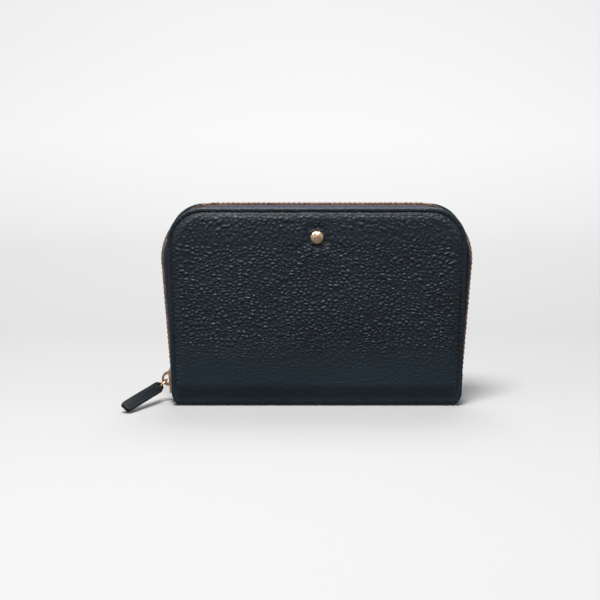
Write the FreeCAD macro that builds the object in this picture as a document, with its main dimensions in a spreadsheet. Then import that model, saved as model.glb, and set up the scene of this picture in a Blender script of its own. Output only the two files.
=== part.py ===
"""Small zip-around leather card holder.

Frame: +Z up, +X along the width, the front cover towards -Y. The origin is the middle of the spine's
underside. The front cover is drawn, and the back cover is the same pieces turned half round about Z.
"""
import FreeCAD, Part
import Sketcher
import math
import os
import re

from FreeCAD import Placement, Rotation, Vector

SIZES = {
    # cover outline, in the XZ plane: flat foot, sides that lean outwards, round top corners
    "cover_foot_half": 65.0,
    "cover_lean": 1.2,
    "cover_corner": 16.0,
    "cover_top": 89.4,
    "cover_foot": 2.3,
    # cover layers, from the outside in
    "half_depth": 10.0,
    "leather_thick": 1.2,
    "padding_thick": 1.8,
    "board_thick": 1.2,
    "tape_thick": 0.6,
    "lining_thick": 0.4,
    "ply_thick": 0.5,
    "field_inset": 2.2,
    "field_foot": 6.3,
    "field_round": 1.6,
    "layer_gap": 0.1,
    "layer_foot": 3.2,
    "lining_inset": 2.0,
    "lining_corner_extra": 6.0,
    # card slots
    "panel_margin": 5.0,
    "panel_drop": 13.4,
    "card_step": 11.0,
    "slot_seam_margin": 13.0,
    "slot_seam_clearance": 0.5,
    # spine
    "spine_end_margin": 3.0,
    "spine_height": 2.0,
    "spine_round": 1.6,
    "spine_board_margin": 3.2,
    "spine_board_thick": 0.8,
    "spine_lining_margin": 3.0,
    # coin pocket
    "pocket_clearance": 0.9,
    "pocket_wall": 0.6,
    "pocket_margin": 7.0,
    "pocket_drop": 14.4,
    "coin_tape_edge": 0.9,
    "coin_tape_lip": 0.6,
    "coin_pitch": 1.7,
    "coin_tooth_clearance": 0.15,
    "coin_tooth_root": 1.7,
    "coin_tooth_head": 0.5,
    "coin_tooth_rise": 0.9,
    "coin_stop_long": 1.2,
    "coin_stop_gap": 0.8,
    "coin_slider_length": 7.0,
    "coin_slider_side": 0.9,
    "coin_slider_wall": 0.7,
    "coin_lug_long": 2.6,
    "coin_lug_wide": 1.2,
    "coin_lug_high": 1.5,
    "coin_pin_radius": 0.45,
    "coin_puller_half": 1.9,
    "coin_puller_thick": 0.9,
    "coin_arm_long": 2.4,
    "coin_plate_long": 6.4,
    "coin_slider_margin": 3.5,
    # main zip, along the middle of the edge
    "zip_foot_inset": 1.1,
    "zip_lean": 4.1,
    "zip_corner_extra": 7.9,
    "zip_rise": 0.1,
    "zip_left_end": 2.6,
    "zip_right_end": 9.0,
    "tape_edge": 1.5,
    "flange_inset": 7.0,
    "tooth_pitch": 2.27,
    "tooth_clearance": 0.185,
    "tooth_root": 2.6,
    "tooth_head": 0.9,
    "tooth_height": 2.2,
    "tooth_slot": 0.7,
    "teeth_left_foot": 9.6,
    "teeth_right_foot": 14.0,
    "left_run_drop": 27.4,
    # main slider
    "slider_foot": 4.8,
    "slider_length": 10.0,
    "slider_half_tail": 3.3,
    "slider_half_nose": 4.0,
    "slider_plate": 0.8,
    "channel_half": 1.25,
    "channel_side": 2.8,
    "slider_slot_half": 0.45,
    "bridge_width": 2.2,
    "bridge_thick": 0.9,
    "bridge_gap": 2.5,
    "bridge_foot": 2.8,
    "bridge_long": 6.4,
    "bridge_root": 1.17,
    "wedge_foot": 0.4,
    # puller, with its tab lying on the surface that the holder stands on
    "ring_radius": 2.8,
    "ring_wire": 0.9,
    "ring_station": 5.4,
    "ring_turn": 55.0,
    "ring_dip": 35.0,
    "tab_length": 29.0,
    "tab_width": 5.2,
    "tab_ply": 1.0,
    "tab_hole_radius": 1.25,
    "tab_hole_margin": 2.0,
    "tab_neck_half": 1.2,
    "tab_shoulder": 1.8,
    "tab_tip_cut": 1.2,
    "tab_yaw": 60.0,
    "tab_roll": 60.0,
    "floor_gap": 0.15,
    # stud
    "stud_drop": 13.0,
    "stud_radius": 2.75,
    "stud_rise": 0.9,
    "stud_post_radius": 0.8,
    "washer_radius": 2.4,
    "washer_thick": 0.4,
    # stitches
    "stitch_pitch": 3.8,
    "stitch_long": 2.4,
    "stitch_wide": 0.5,
    "stitch_rise": 0.3,
    "seam_inset": 3.3,
}
CARD_SLOTS = 4
TIED_SIZES = {
    # what follows the cover's outline and layers, each by a margin or a clearance of its own
    "lining_corner": "cover_corner + lining_corner_extra",
    "card_half_width": "cover_foot_half - panel_margin",
    "card_base_top": "cover_top - panel_drop",
    "slot_seam_half": "card_half_width - slot_seam_margin",
    "spine_half_length": "cover_foot_half - spine_end_margin",
    "spine_board_half": "half_depth - spine_board_margin",
    "spine_lining_half": "half_depth - spine_lining_margin",
    "card_face": f"half_depth - leather_thick - board_thick - tape_thick - lining_thick"
                 f" - {CARD_SLOTS + 1} * ply_thick",
    "pocket_half_depth": "card_face - pocket_clearance",
    "pocket_half_width": "cover_foot_half - pocket_margin",
    "pocket_top": "cover_top - pocket_drop",
    "coin_slider_x": "coin_slider_margin - pocket_half_width",
    "coin_tape_half": "coin_tooth_root + coin_slider_side + coin_tape_lip",
    "coin_tooth": "coin_pitch / 2 - coin_tooth_clearance",
    "tooth_long": "tooth_pitch / 2 - tooth_clearance",
    "zip_foot_half": "cover_foot_half - zip_foot_inset",
    "zip_corner": "cover_corner + zip_corner_extra",
    "zip_top": "cover_top + zip_rise",
    "left_run_top": "cover_top - left_run_drop",
    "stud_height": "cover_top - stud_drop",
}

doc = FreeCAD.newDocument("CardHolder")
sheet = doc.addObject("Spreadsheet::Sheet", "Sizes")
for row, alias in enumerate([*SIZES, *TIED_SIZES], 1):
    sheet.set(f"A{row}", alias)
    sheet.set(f"B{row}", str(SIZES[alias]) if alias in SIZES else f"={TIED_SIZES[alias]}")
    sheet.setAlias(f"B{row}", alias)
    doc.recompute()

nodes = {}
BACK = Placement(Vector(0, 0, 0), Rotation(Vector(0, 0, 1), 180))
SIDES = {"front": Placement(), "back": BACK}


def size(alias):
    """A driving dimension as the sheet holds it."""
    return float(sheet.get(alias))


def bound(expression):
    """The expression with each driving dimension's name pointed at the sheet."""
    return re.sub(r"[a-z_]\w*", lambda word: f"Sizes.{word[0]}" if sheet.getCellFromAlias(word[0]) else word[0],
                  expression)


def node(label, piece, placement=None):
    """Registers a document object as one sub-part of the card holder."""
    piece.Label = label
    if placement is not None:
        piece.Placement = placement
    nodes[label] = piece
    return piece


# ---- outlines ---------------------------------------------------------------------------------------

def arch_frame(foot_half, lean, corner, top):
    """Middle of the right corner's arc, for sides that lean outwards by lean degrees from z = 0."""
    slope = math.tan(math.radians(lean))
    height = top - corner
    return foot_half + slope * height - corner / math.cos(math.radians(lean)), height


def arch_edges(foot_half, lean, corner, top, left_foot, right_foot):
    """Edges of an open arch from the left foot over the top to the right foot, in the XZ plane."""
    slope, turn = math.tan(math.radians(lean)), math.radians(lean)
    middle, height = arch_frame(foot_half, lean, corner, top)

    def on_corner(side, angle):
        return Vector(side * (middle + corner * math.cos(angle)), 0, height + corner * math.sin(angle))

    feet = {side: Vector(side * (foot_half + slope * foot), 0, foot)
            for side, foot in ((-1, left_foot), (1, right_foot))}
    halfway = (math.pi / 2 - turn) / 2
    return [
        Part.LineSegment(feet[-1], on_corner(-1, -turn)).toShape(),
        Part.Arc(on_corner(-1, -turn), on_corner(-1, halfway), on_corner(-1, math.pi / 2)).toShape(),
        Part.LineSegment(on_corner(-1, math.pi / 2), on_corner(1, math.pi / 2)).toShape(),
        Part.Arc(on_corner(1, math.pi / 2), on_corner(1, halfway), on_corner(1, -turn)).toShape(),
        Part.LineSegment(on_corner(1, -turn), feet[1]).toShape(),
    ]


def arch_face(foot_half, lean, corner, top, left_foot, right_foot):
    """The arch closed along its foot, as a face in the XZ plane."""
    edges = arch_edges(foot_half, lean, corner, top, left_foot, right_foot)
    foot = Part.LineSegment(edges[-1].Vertexes[-1].Point, edges[0].Vertexes[0].Point).toShape()
    return Part.Face(Part.Wire(edges + [foot]))


def arch_sketch(body, name, outline, foot, inner_face):
    """A sketch of the closed arch on a plane parallel to XZ, at y = -inner_face.

    outline is the foot half-width at z = 0, the lean, the corner radius and the top, as expressions.
    """
    sketch = body.newObject("Sketcher::SketchObject", name)
    plane = [f for f in body.Origin.OriginFeatures if f.Role == "XZ_Plane"][0]
    sketch.AttachmentSupport = [(plane, "")]
    sketch.MapMode = "FlatFace"
    sketch.setExpression("AttachmentOffset.Base.z", bound(inner_face))
    foot_half, lean, corner, top = (number(expression) for expression in outline)
    base = number(foot)
    slope, turn = math.tan(math.radians(lean)), math.radians(lean)
    middle, height = arch_frame(foot_half, lean, corner, top)
    low = foot_half + slope * base
    bend = Vector(middle + corner * math.cos(turn), height - corner * math.sin(turn), 0)
    up = Vector(0, 0, 1)
    sketch.addGeometry(Part.LineSegment(Vector(-low, base, 0), Vector(low, base, 0)))
    sketch.addGeometry(Part.LineSegment(Vector(low, base, 0), bend))
    right = Part.Circle(Vector(middle, height, 0), up, corner)
    sketch.addGeometry(Part.ArcOfCircle(right, -turn, math.pi / 2))
    sketch.addGeometry(Part.LineSegment(Vector(middle, top, 0), Vector(-middle, top, 0)))
    left = Part.Circle(Vector(-middle, height, 0), up, corner)
    sketch.addGeometry(Part.ArcOfCircle(left, math.pi / 2, math.pi + turn))
    sketch.addGeometry(Part.LineSegment(Vector(-bend.x, bend.y, 0), Vector(-low, base, 0)))
    rule = Sketcher.Constraint
    for first, second in ((1, 2), (2, 3), (3, 4), (4, 5)):
        sketch.addConstraint(rule("Tangent", first, 2, second, 1))
    sketch.addConstraint(rule("Coincident", 0, 2, 1, 1))
    sketch.addConstraint(rule("Coincident", 5, 2, 0, 1))
    sketch.addConstraint(rule("Horizontal", 3))
    sketch.addConstraint(rule("Symmetric", 0, 1, 0, 2, -2))
    sketch.addConstraint(rule("Symmetric", 2, 3, 4, 3, -2))
    driven = {
        "corner": (rule("Radius", 2, corner), outline[2]),
        "foot": (rule("DistanceY", -1, 1, 0, 2, base), foot),
        "top": (rule("DistanceY", -1, 1, 3, 1, top), outline[3]),
        "low_half": (rule("DistanceX", -1, 1, 0, 2, low),
                     f"( {outline[0]} ) + tan( ( {outline[1]} ) * 1 deg ) * ( {foot} )"),
        "side": (rule("Angle", 1, math.pi / 2 - turn), f"90 - ( {outline[1]} )"),
    }
    for label, (constraint, expression) in driven.items():
        index = sketch.addConstraint(constraint)
        sketch.renameConstraint(index, label)
        sketch.setExpression(f"Constraints.{label}", bound(expression))
    return sketch


def number(expression):
    """What an expression of driving dimensions comes to."""
    return float(sheet.evalExpression(expression))


# ---- features ---------------------------------------------------------------------------------------

BOARD_OUT = "half_depth - leather_thick"
BOARD_IN = f"{BOARD_OUT} - board_thick"
TAPE_IN = f"{BOARD_IN} - tape_thick"
LINING_IN = f"{TAPE_IN} - lining_thick"
BASE_IN = f"{LINING_IN} - ply_thick"


def inset_cover(inset):
    """The cover's outline drawn in by an inset, as expressions."""
    return (f"cover_foot_half - ( {inset} )", "cover_lean", f"cover_corner - ( {inset} )",
            f"cover_top - ( {inset} )")


LINING = ("cover_foot_half - lining_inset", "cover_lean", "lining_corner", "cover_top - lining_inset")


def arch_pad(body, name, outline, foot, inner_face, thickness):
    """Adds the arch from y = -inner_face outwards by thickness."""
    sketch = arch_sketch(body, f"{name}_outline", outline, foot, inner_face)
    pad = body.newObject("PartDesign::Pad", f"{name}_pad")
    pad.Profile = sketch
    pad.setExpression("Length", bound(thickness))
    return pad


def arch_pocket(body, name, outline, foot, inner_face, depth):
    """Cuts the arch from y = -inner_face outwards by depth."""
    sketch = arch_sketch(body, f"{name}_outline", outline, foot, inner_face)
    pocket = body.newObject("PartDesign::Pocket", f"{name}_pocket")
    pocket.Profile = sketch
    pocket.Reversed = True
    pocket.setExpression("Length", bound(depth))
    return pocket


def arch_layer(label, side, outline, foot, inner_face, thickness):
    """A flat cover layer with the arch's outline."""
    body = doc.addObject("PartDesign::Body", f"{label}_body")
    arch_pad(body, label, outline, foot, inner_face, thickness)
    return node(label, body, SIDES[side])


def stud_hole(body, name, outer_face, depth):
    """A round hole for the stud's post, from y = -outer_face inwards."""
    sketch = body.newObject("Sketcher::SketchObject", f"{name}_hole_outline")
    plane = [f for f in body.Origin.OriginFeatures if f.Role == "XZ_Plane"][0]
    sketch.AttachmentSupport = [(plane, "")]
    sketch.MapMode = "FlatFace"
    sketch.setExpression("AttachmentOffset.Base.z", bound(outer_face))
    middle = Vector(0, size("stud_height"), 0)
    sketch.addGeometry(Part.Circle(middle, Vector(0, 0, 1), size("stud_post_radius")))
    sketch.addConstraint(Sketcher.Constraint("PointOnObject", 0, 3, -2))
    for label, constraint, expression in (
        ("height", Sketcher.Constraint("DistanceY", -1, 1, 0, 3, middle.y), "stud_height"),
        ("radius", Sketcher.Constraint("Radius", 0, size("stud_post_radius")), "stud_post_radius"),
    ):
        index = sketch.addConstraint(constraint)
        sketch.renameConstraint(index, label)
        sketch.setExpression(f"Constraints.{label}", bound(expression))
    pocket = body.newObject("PartDesign::Pocket", f"{name}_hole")
    pocket.Profile = sketch
    pocket.setExpression("Length", bound(depth))
    return pocket


def block(name, low, high):
    """A box between two corners given as expressions."""
    box = doc.addObject("Part::Box", name)
    for axis, side, start, end in zip("xyz", ("Length", "Width", "Height"), low, high):
        box.setExpression(side, bound(f"( {end} ) - ( {start} )"))
        box.setExpression(f"Placement.Base.{axis}", bound(start))
    return box


def cut(name, base, *tools):
    """The base with the tools taken away."""
    result = doc.addObject("Part::Cut", name)
    result.Base = base
    if len(tools) == 1:
        result.Tool = tools[0]
    else:
        result.Tool = doc.addObject("Part::MultiFuse", f"{name}_tools")
        result.Tool.Shapes = list(tools)
    return result


def fuse(name, *pieces):
    """The pieces joined into one."""
    result = doc.addObject("Part::MultiFuse", name)
    result.Shapes = list(pieces)
    return result


def shaped(label, shape, placement=None):
    """A sub-part whose shape is computed from the sheet's values."""
    piece = doc.addObject("Part::Feature", label)
    piece.Shape = shape
    return node(label, piece, placement or Placement())


def stations(edges, start, pitch, first=0.0):
    """Points along connected edges, a pitch apart: (distance from the start, point, direction)."""
    found, passed = [], start + first
    begun = 0.0
    for edge in edges:
        while passed <= begun + edge.Length:
            at = edge.getParameterByLength(passed - begun)
            found.append((passed, edge.valueAt(at), edge.tangentAt(at)))
            passed += pitch
        begun += edge.Length
    return found


def frame_at(point, direction):
    """Local x outwards from the holder, local y to the front, local z along the edge."""
    outwards = direction.cross(Vector(0, 1, 0))
    return Placement(point, Rotation(outwards, Vector(0, -1, 0), direction, "ZXY"))


# ---- covers -----------------------------------------------------------------------------------------

def cover(side):
    """The stacked layers of one cover."""
    leather = doc.addObject("PartDesign::Body", f"{side}_leather_body")
    arch_pad(leather, f"{side}_rim", inset_cover("0"), "cover_foot", BOARD_IN,
             "leather_thick + board_thick")
    field = inset_cover("field_inset")
    arch_pad(leather, f"{side}_field", field, "field_foot", "half_depth", "padding_thick")
    arch_pocket(leather, f"{side}_board_seat", inset_cover("leather_thick"),
                "cover_foot + leather_thick", BOARD_IN, "board_thick")
    arch_pocket(leather, f"{side}_padding_seat", inset_cover("field_inset + leather_thick"),
                "field_foot + leather_thick", BOARD_OUT, "padding_thick")
    doc.recompute()
    round_field(leather, side)
    if side == "front":
        stud_hole(leather, "front_leather", "half_depth + padding_thick", "leather_thick + layer_gap")
    node(f"{side}_leather", leather, SIDES[side])

    board_edge = inset_cover("leather_thick + layer_gap")
    board = arch_layer(f"{side}_board", side, board_edge, "cover_foot + leather_thick + layer_gap",
                       BOARD_IN, "board_thick")
    padding_edge = inset_cover("field_inset + leather_thick + layer_gap")
    padding = arch_layer(f"{side}_padding", side, padding_edge,
                         "field_foot + leather_thick + layer_gap", BOARD_OUT, "padding_thick")
    if side == "front":
        stud_hole(board, "front_board", BOARD_OUT, "board_thick")
        stud_hole(padding, "front_padding", f"{BOARD_OUT} + padding_thick", "padding_thick")
    arch_layer(f"{side}_lining", side, LINING, "layer_foot", LINING_IN, "lining_thick")


def round_field(body, side):
    """Rounds the padded field's edge, where it stands furthest out."""
    reach = size("half_depth") + size("padding_thick")
    tip = body.Tip
    names = [f"Edge{n}" for n, edge in enumerate(tip.Shape.Edges, 1)
             if all(abs(v.Y + reach) < 1e-6 for v in edge.Vertexes)]
    fillet = body.newObject("PartDesign::Fillet", f"{side}_field_round")
    fillet.Base = (tip, names)
    fillet.setExpression("Radius", bound("field_round"))
    return fillet


def card_plies(side):
    """The card panel and the stepped slots on it, and the thread that closes the slots' ends."""
    half = "card_half_width"
    def ply(label, inner, top):
        piece = block(label, (f"0 - {half}", f"0 - ( {inner} + ply_thick )", "layer_foot"),
                      (half, f"0 - ( {inner} )", top))
        holder = doc.addObject("Part::Compound", f"{label}_set")
        holder.Links = [piece]
        return node(label, holder, SIDES[side])

    ply(f"{side}_card_panel", BASE_IN, "card_base_top")
    for slot in range(1, CARD_SLOTS + 1):
        ply(f"{side}_card_slot_{slot}", f"{BASE_IN} - {slot} * ply_thick",
            f"card_base_top - {slot} * card_step")


def slot_seams(side):
    """Stitches up both ends of the card slots, each on the ply that is in front there."""
    face = number(BASE_IN)
    stitches = []
    bottom = size("layer_foot") + size("stitch_pitch")
    spare, long = size("slot_seam_clearance"), size("stitch_long")
    for x in (-size("slot_seam_half"), size("slot_seam_half")):
        z = bottom
        while z + long < size("card_base_top") - size("card_step"):
            below = [size("card_base_top") - slot * size("card_step") for slot in range(1, CARD_SLOTS + 1)]
            fits = [top for top in below if z + long < top - spare]
            clear = all(not z - spare < top < z + long + spare for top in below)
            if clear:
                y = -(face - len(fits) * size("ply_thick"))
                stitches.append(Part.makeBox(size("stitch_wide"), size("stitch_rise"), long,
                                             Vector(x - size("stitch_wide") / 2, y, z)))
            z += size("stitch_pitch")
    shaped(f"{side}_slot_stitches", Part.makeCompound(stitches), SIDES[side])


def edge_stitches(side):
    """Stitches round the cover leather, lying on the rounded edge of its padded field."""
    inset = size("seam_inset")
    past_round = max(size("field_inset") + size("field_round") - inset - size("stitch_wide") / 2, 0)
    face = (size("half_depth") + size("padding_thick") - size("field_round")
            + math.sqrt(size("field_round") ** 2 - past_round ** 2))
    edges = arch_edges(size("cover_foot_half") - inset, size("cover_lean"), size("cover_corner") - inset,
                       size("cover_top") - inset, size("field_foot"), size("field_foot"))
    stitches = []
    for _, point, direction in stations(edges, size("stitch_pitch") / 2, size("stitch_pitch")):
        stitch = Part.makeBox(size("stitch_wide"), size("stitch_rise"), size("stitch_long"),
                              Vector(-size("stitch_wide") / 2, 0, -size("stitch_long") / 2))
        point.y = -face
        stitch.Placement = frame_at(point, direction)
        stitches.append(stitch)
    shaped(f"{side}_edge_stitches", Part.makeCompound(stitches), SIDES[side])


def stud():
    """The front cover's stud: a domed cap on a post, and the washer that it is set on inside."""
    face = size("half_depth") + size("padding_thick")
    post_end = number(TAPE_IN) + size("layer_gap")
    post_radius = size("stud_post_radius") - size("layer_gap") / 2
    along = Vector(0, -1, 0)
    rise, radius = size("stud_rise"), size("stud_radius")
    ball = (radius ** 2 + rise ** 2) / (2 * rise)
    dome = Part.makeSphere(ball, Vector(0, rise - ball, 0) * -1)
    slab = Part.makeCylinder(radius, rise, Vector(0, 0, 0), along)
    cap = slab.common(dome)
    cap.translate(Vector(0, -face, size("stud_height")))
    post = Part.makeCylinder(post_radius, face - post_end, Vector(0, -post_end, size("stud_height")), along)
    shaped("stud_cap", cap.fuse(post).removeSplitter())
    seat = number(BOARD_IN)
    thick = size("washer_thick")
    set_at = Vector(0, thick - seat, size("stud_height"))
    washer = Part.makeCylinder(size("washer_radius"), thick, set_at, along)
    bore = Part.makeCylinder(post_radius + size("layer_gap") / 2, thick, set_at, along)
    shaped("stud_washer", washer.cut(bore))


# ---- main zip ---------------------------------------------------------------------------------------

def zip_arch(offset, left_foot, right_foot):
    """The zip's path moved outwards by an offset, as the arguments that draw an arch."""
    return (size("zip_foot_half") + offset / math.cos(math.radians(size("zip_lean"))), size("zip_lean"),
            size("zip_corner") + offset, size("zip_top") + offset, left_foot, right_foot)


def zip_tape(side):
    """Woven tape: a band round the edge, and the flange that is glued between board and lining."""
    half = size("tape_thick") / 2
    left, right = size("zip_left_end"), size("zip_right_end")
    if side == "back":
        left, right = right, left
    outer = arch_face(*zip_arch(half, left, right))
    inner = arch_face(*zip_arch(-half, left - 1, right - 1))
    band_end, flange_end = number(TAPE_IN), number(BOARD_IN)
    band = outer.extrude(Vector(0, size("tape_edge") - flange_end, 0))
    band = band.cut(inner.extrude(Vector(0, size("tape_edge") - flange_end, 0)))
    band.translate(Vector(0, -size("tape_edge"), 0))
    inset = size("flange_inset")
    window = arch_face(size("cover_foot_half") - inset, size("cover_lean"), size("cover_corner") - inset,
                       size("cover_top") - inset, left - 1, right - 1)
    flange = outer.extrude(Vector(0, band_end - flange_end, 0))
    flange = flange.cut(window.extrude(Vector(0, band_end - flange_end, 0)))
    flange.translate(Vector(0, -band_end, 0))
    if side == "front":
        hole = Part.makeCylinder(size("washer_radius") + size("layer_gap"), 2 * size("tape_thick"),
                                 Vector(0, -number(TAPE_IN) + size("tape_thick") / 2, size("stud_height")),
                                 Vector(0, -1, 0))
        flange = flange.cut(hole)
    shaped(f"{side}_zip_tape", band.fuse(flange).removeSplitter(), SIDES[side])


def tooth(side):
    """One zip tooth in the frame of its place on the edge: a bar clamped over the tape's edge."""
    half, slot = size("tooth_height") / 2, size("tooth_slot") / 2
    root, head = size("tooth_root"), -size("tooth_head")
    grip = size("tape_edge") - size("layer_gap")
    facing = 1 if side == "front" else -1
    outline = [(-half, root), (-half, head), (half, head), (half, root), (slot, root), (slot, grip),
               (-slot, grip), (-slot, root)]
    corners = [Vector(x, facing * y, -size("tooth_long") / 2) for x, y in outline]
    return Part.Face(Part.makePolygon(corners + corners[:1])).extrude(Vector(0, 0, size("tooth_long")))


def zip_teeth(side):
    """Teeth along one tape, half a pitch from the other row's: the left run apart from the rest."""
    edges = arch_edges(*zip_arch(0, size("teeth_left_foot"), size("teeth_right_foot")))
    first = 0.0 if side == "front" else size("tooth_pitch") / 2
    runs = {f"{side}_teeth_left": [], f"{side}_teeth": []}
    for _, point, direction in stations(edges, first, size("tooth_pitch")):
        piece = tooth(side)
        piece.Placement = frame_at(point, direction)
        on_left = point.x < 0 and point.z < size("left_run_top")
        runs[f"{side}_teeth_left" if on_left else f"{side}_teeth"].append(piece)
    for label, pieces in runs.items():
        shaped(label, Part.makeCompound(pieces))
    reach = size("tooth_height")
    own_half = Part.makeBox(2 * reach, 2 * reach, 2 * reach, Vector(-reach, size("layer_gap"), -reach))
    if side == "back":
        own_half = own_half.mirror(Vector(0, 0, 0), Vector(0, 1, 0))
    foot = size("zip_left_end") + size("tooth_long")
    shaped(f"{side}_top_stop", tooth(side).common(own_half), left_place(foot))


def left_place(height):
    """A frame on the zip's left run at a height."""
    turn = math.radians(size("zip_lean"))
    point = Vector(-size("zip_foot_half") - math.tan(turn) * height, 0, height)
    return frame_at(point, Vector(-math.sin(turn), 0, math.cos(turn)))


def right_place(height):
    """A frame on the zip's right run at a height."""
    turn = math.radians(size("zip_lean"))
    point = Vector(size("zip_foot_half") + math.tan(turn) * height, 0, height)
    return frame_at(point, Vector(-math.sin(turn), 0, -math.cos(turn)))


def stops():
    """Bottom stop on the right end of the zip: two plates over the tape ends, joined in the middle."""
    outer = block("stop_block", ("0 - channel_half", "0 - channel_side", "0"),
                  ("channel_half", "channel_side", "stitch_long"))
    slots = [block(f"stop_slot_{name}", ("0 - tooth_slot / 2", low, "0"),
                   ("tooth_slot / 2", high, "stitch_long"))
             for name, low, high in (("front", "tape_edge - layer_gap", "channel_side"),
                                     ("back", "0 - channel_side", "layer_gap - tape_edge"))]
    node("zip_bottom_stop", cut("zip_bottom_stop_cut", outer, *slots),
         right_place(size("teeth_right_foot") - size("tooth_pitch") / 2))


def slider():
    """Main slider: two plates with side walls round the teeth, a wedge at the nose, and a bridge."""
    thick = "( channel_half + slider_plate )"
    body = doc.addObject("PartDesign::Body", "slider_body")
    sketch = body.newObject("Sketcher::SketchObject", "slider_outline")
    plane = [f for f in body.Origin.OriginFeatures if f.Role == "YZ_Plane"][0]
    sketch.AttachmentSupport = [(plane, "")]
    sketch.MapMode = "FlatFace"
    tail, nose, long = size("slider_half_tail"), size("slider_half_nose"), size("slider_length")
    corners = [Vector(-nose, 0, 0), Vector(nose, 0, 0), Vector(tail, long, 0), Vector(-tail, long, 0)]
    for start, end in zip(corners, corners[1:] + corners[:1]):
        sketch.addGeometry(Part.LineSegment(start, end))
    for line in range(4):
        sketch.addConstraint(Sketcher.Constraint("Coincident", line, 2, (line + 1) % 4, 1))
    sketch.addConstraint(Sketcher.Constraint("Horizontal", 0))
    sketch.addConstraint(Sketcher.Constraint("Symmetric", 0, 1, 0, 2, -1, 1))
    sketch.addConstraint(Sketcher.Constraint("Symmetric", 2, 1, 2, 2, -2))
    for label, constraint, expression in (
        ("nose", Sketcher.Constraint("DistanceX", 0, 1, 0, 2, 2 * nose), "2 * slider_half_nose"),
        ("tail", Sketcher.Constraint("DistanceX", 2, 2, 2, 1, 2 * tail), "2 * slider_half_tail"),
        ("long", Sketcher.Constraint("DistanceY", -1, 1, 2, 1, long), "slider_length"),
    ):
        index = sketch.addConstraint(constraint)
        sketch.renameConstraint(index, label)
        sketch.setExpression(f"Constraints.{label}", bound(expression))
    pad = body.newObject("PartDesign::Pad", "slider_pad")
    pad.Profile = sketch
    pad.Midplane = True
    pad.setExpression("Length", bound(f"2 * {thick}"))
    channel = block("slider_channel", ("0 - channel_half", "0 - channel_side", "0 - layer_gap"),
                    ("channel_half", "channel_side", "slider_length + layer_gap"))
    slots = block("slider_slots", ("0 - slider_slot_half", "0 - slider_half_nose - layer_gap", "0 - layer_gap"),
                  ("slider_slot_half", "slider_half_nose + layer_gap", "slider_length + layer_gap"))
    wedge = block("slider_wedge", ("0 - channel_half - slider_plate / 2", "0 - tooth_head", "wedge_foot"),
                  ("channel_half + slider_plate / 2", "tooth_head", "wedge_foot + slider_length / 4"))
    shell = cut("slider_shell", body, channel, slots)
    place = left_place(size("slider_foot"))
    node("slider_body", fuse("slider_solid", shell, wedge), place)
    deck, gap, thin = size("channel_half") + size("slider_plate"), size("bridge_gap"), size("bridge_thick")
    low, high = size("bridge_foot"), size("bridge_foot") + size("bridge_long")
    half, root = size("bridge_width") / 2, size("bridge_root")

    def bow(rise, start, end):
        return Part.Arc(Vector(deck, -half, start), Vector(deck + rise, -half, (start + end) / 2),
                        Vector(deck, -half, end)).toShape()

    rim = [bow(gap + thin, low, high), bow(gap, low + root, high - root)]
    feet = [Part.LineSegment(Vector(deck, -half, a), Vector(deck, -half, b)).toShape()
            for a, b in ((low, low + root), (high, high - root))]
    strip = Part.Face(Part.Wire(Part.__sortEdges__(rim + feet))).extrude(Vector(0, 2 * half, 0))
    shaped("slider_bridge", strip, place)


# ---- puller -----------------------------------------------------------------------------------------

def puller():
    """The ring through the slider's bridge, and the two-ply leather tab that hangs on it."""
    place = left_place(size("slider_foot"))
    outwards = place.Rotation.multVec(Vector(1, 0, 0))
    upwards = place.Rotation.multVec(Vector(0, 0, 1))
    front = Vector(0, -1, 0)
    under = size("channel_half") + size("slider_plate") + size("bridge_gap") / 2
    held = place.multVec(Vector(under, 0, size("ring_station")))
    dip, turn, radius = math.radians(size("ring_dip")), math.radians(size("ring_turn")), size("ring_radius")
    sag = outwards * math.cos(dip) - upwards * math.sin(dip)
    centre = held + sag * radius
    hole = centre + (sag * math.cos(turn) + front * math.sin(turn)) * radius
    shaped("pull_ring", Part.makeTorus(radius, size("ring_wire") / 2, centre, sag.cross(front)))

    yaw, roll = math.radians(size("tab_yaw")), math.radians(size("tab_roll"))
    margin, half, thick = size("tab_hole_margin"), size("tab_width") / 2, size("tab_ply")
    reach = size("tab_length") - margin
    lowest = half * math.sin(roll) + thick * math.cos(roll) + size("floor_gap")
    fall = math.asin((hole.z - lowest) / reach)
    level = Vector(-math.cos(yaw), -math.sin(yaw), 0)
    run = level * math.cos(fall) - Vector(0, 0, math.sin(fall))
    lift_axis = level.cross(Vector(0, 0, 1))
    flat = lift_axis.cross(run)
    face = flat * math.cos(roll) - lift_axis * math.sin(roll)
    placed = Placement(hole, Rotation(run, face.cross(run), face, "XZY"))
    tip, shoulder, neck = size("tab_tip_cut"), size("tab_shoulder"), size("tab_neck_half")
    outline = [(-margin, -neck), (shoulder - margin, -half), (reach - tip, -half), (reach, tip - half),
               (reach, half - tip), (reach - tip, half), (shoulder - margin, half), (-margin, neck)]
    corners = [Vector(x, y, 0) for x, y in outline]
    strip = Part.Face(Part.makePolygon(corners + corners[:1]))
    bore = Part.makeCylinder(size("tab_hole_radius"), 4 * thick, Vector(0, 0, -2 * thick))
    for label, rise in (("tab_front_leather", thick), ("tab_back_leather", -thick)):
        shaped(label, strip.extrude(Vector(0, 0, rise)).cut(bore), placed)
    pitch, wide = size("stitch_pitch"), size("stitch_wide")
    stitches = []
    for row in range(int((reach - tip) / pitch)):
        for edge in (-1, 1):
            corner = Vector(pitch * (row + 1) - size("stitch_long"),
                            edge * (half - 2 * wide) - wide / 2, thick)
            stitches.append(Part.makeBox(size("stitch_long"), wide, size("stitch_rise"), corner))
    shaped("tab_stitches", Part.makeCompound(stitches), placed)
    print("ring pivot", held, "about", upwards)
    wire_way = front * math.cos(turn) - sag * math.sin(turn)
    print("tab pivot", hole, "about", wire_way, "lifts", wire_way.cross(run).z)


# ---- spine and coin pocket --------------------------------------------------------------------------

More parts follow.
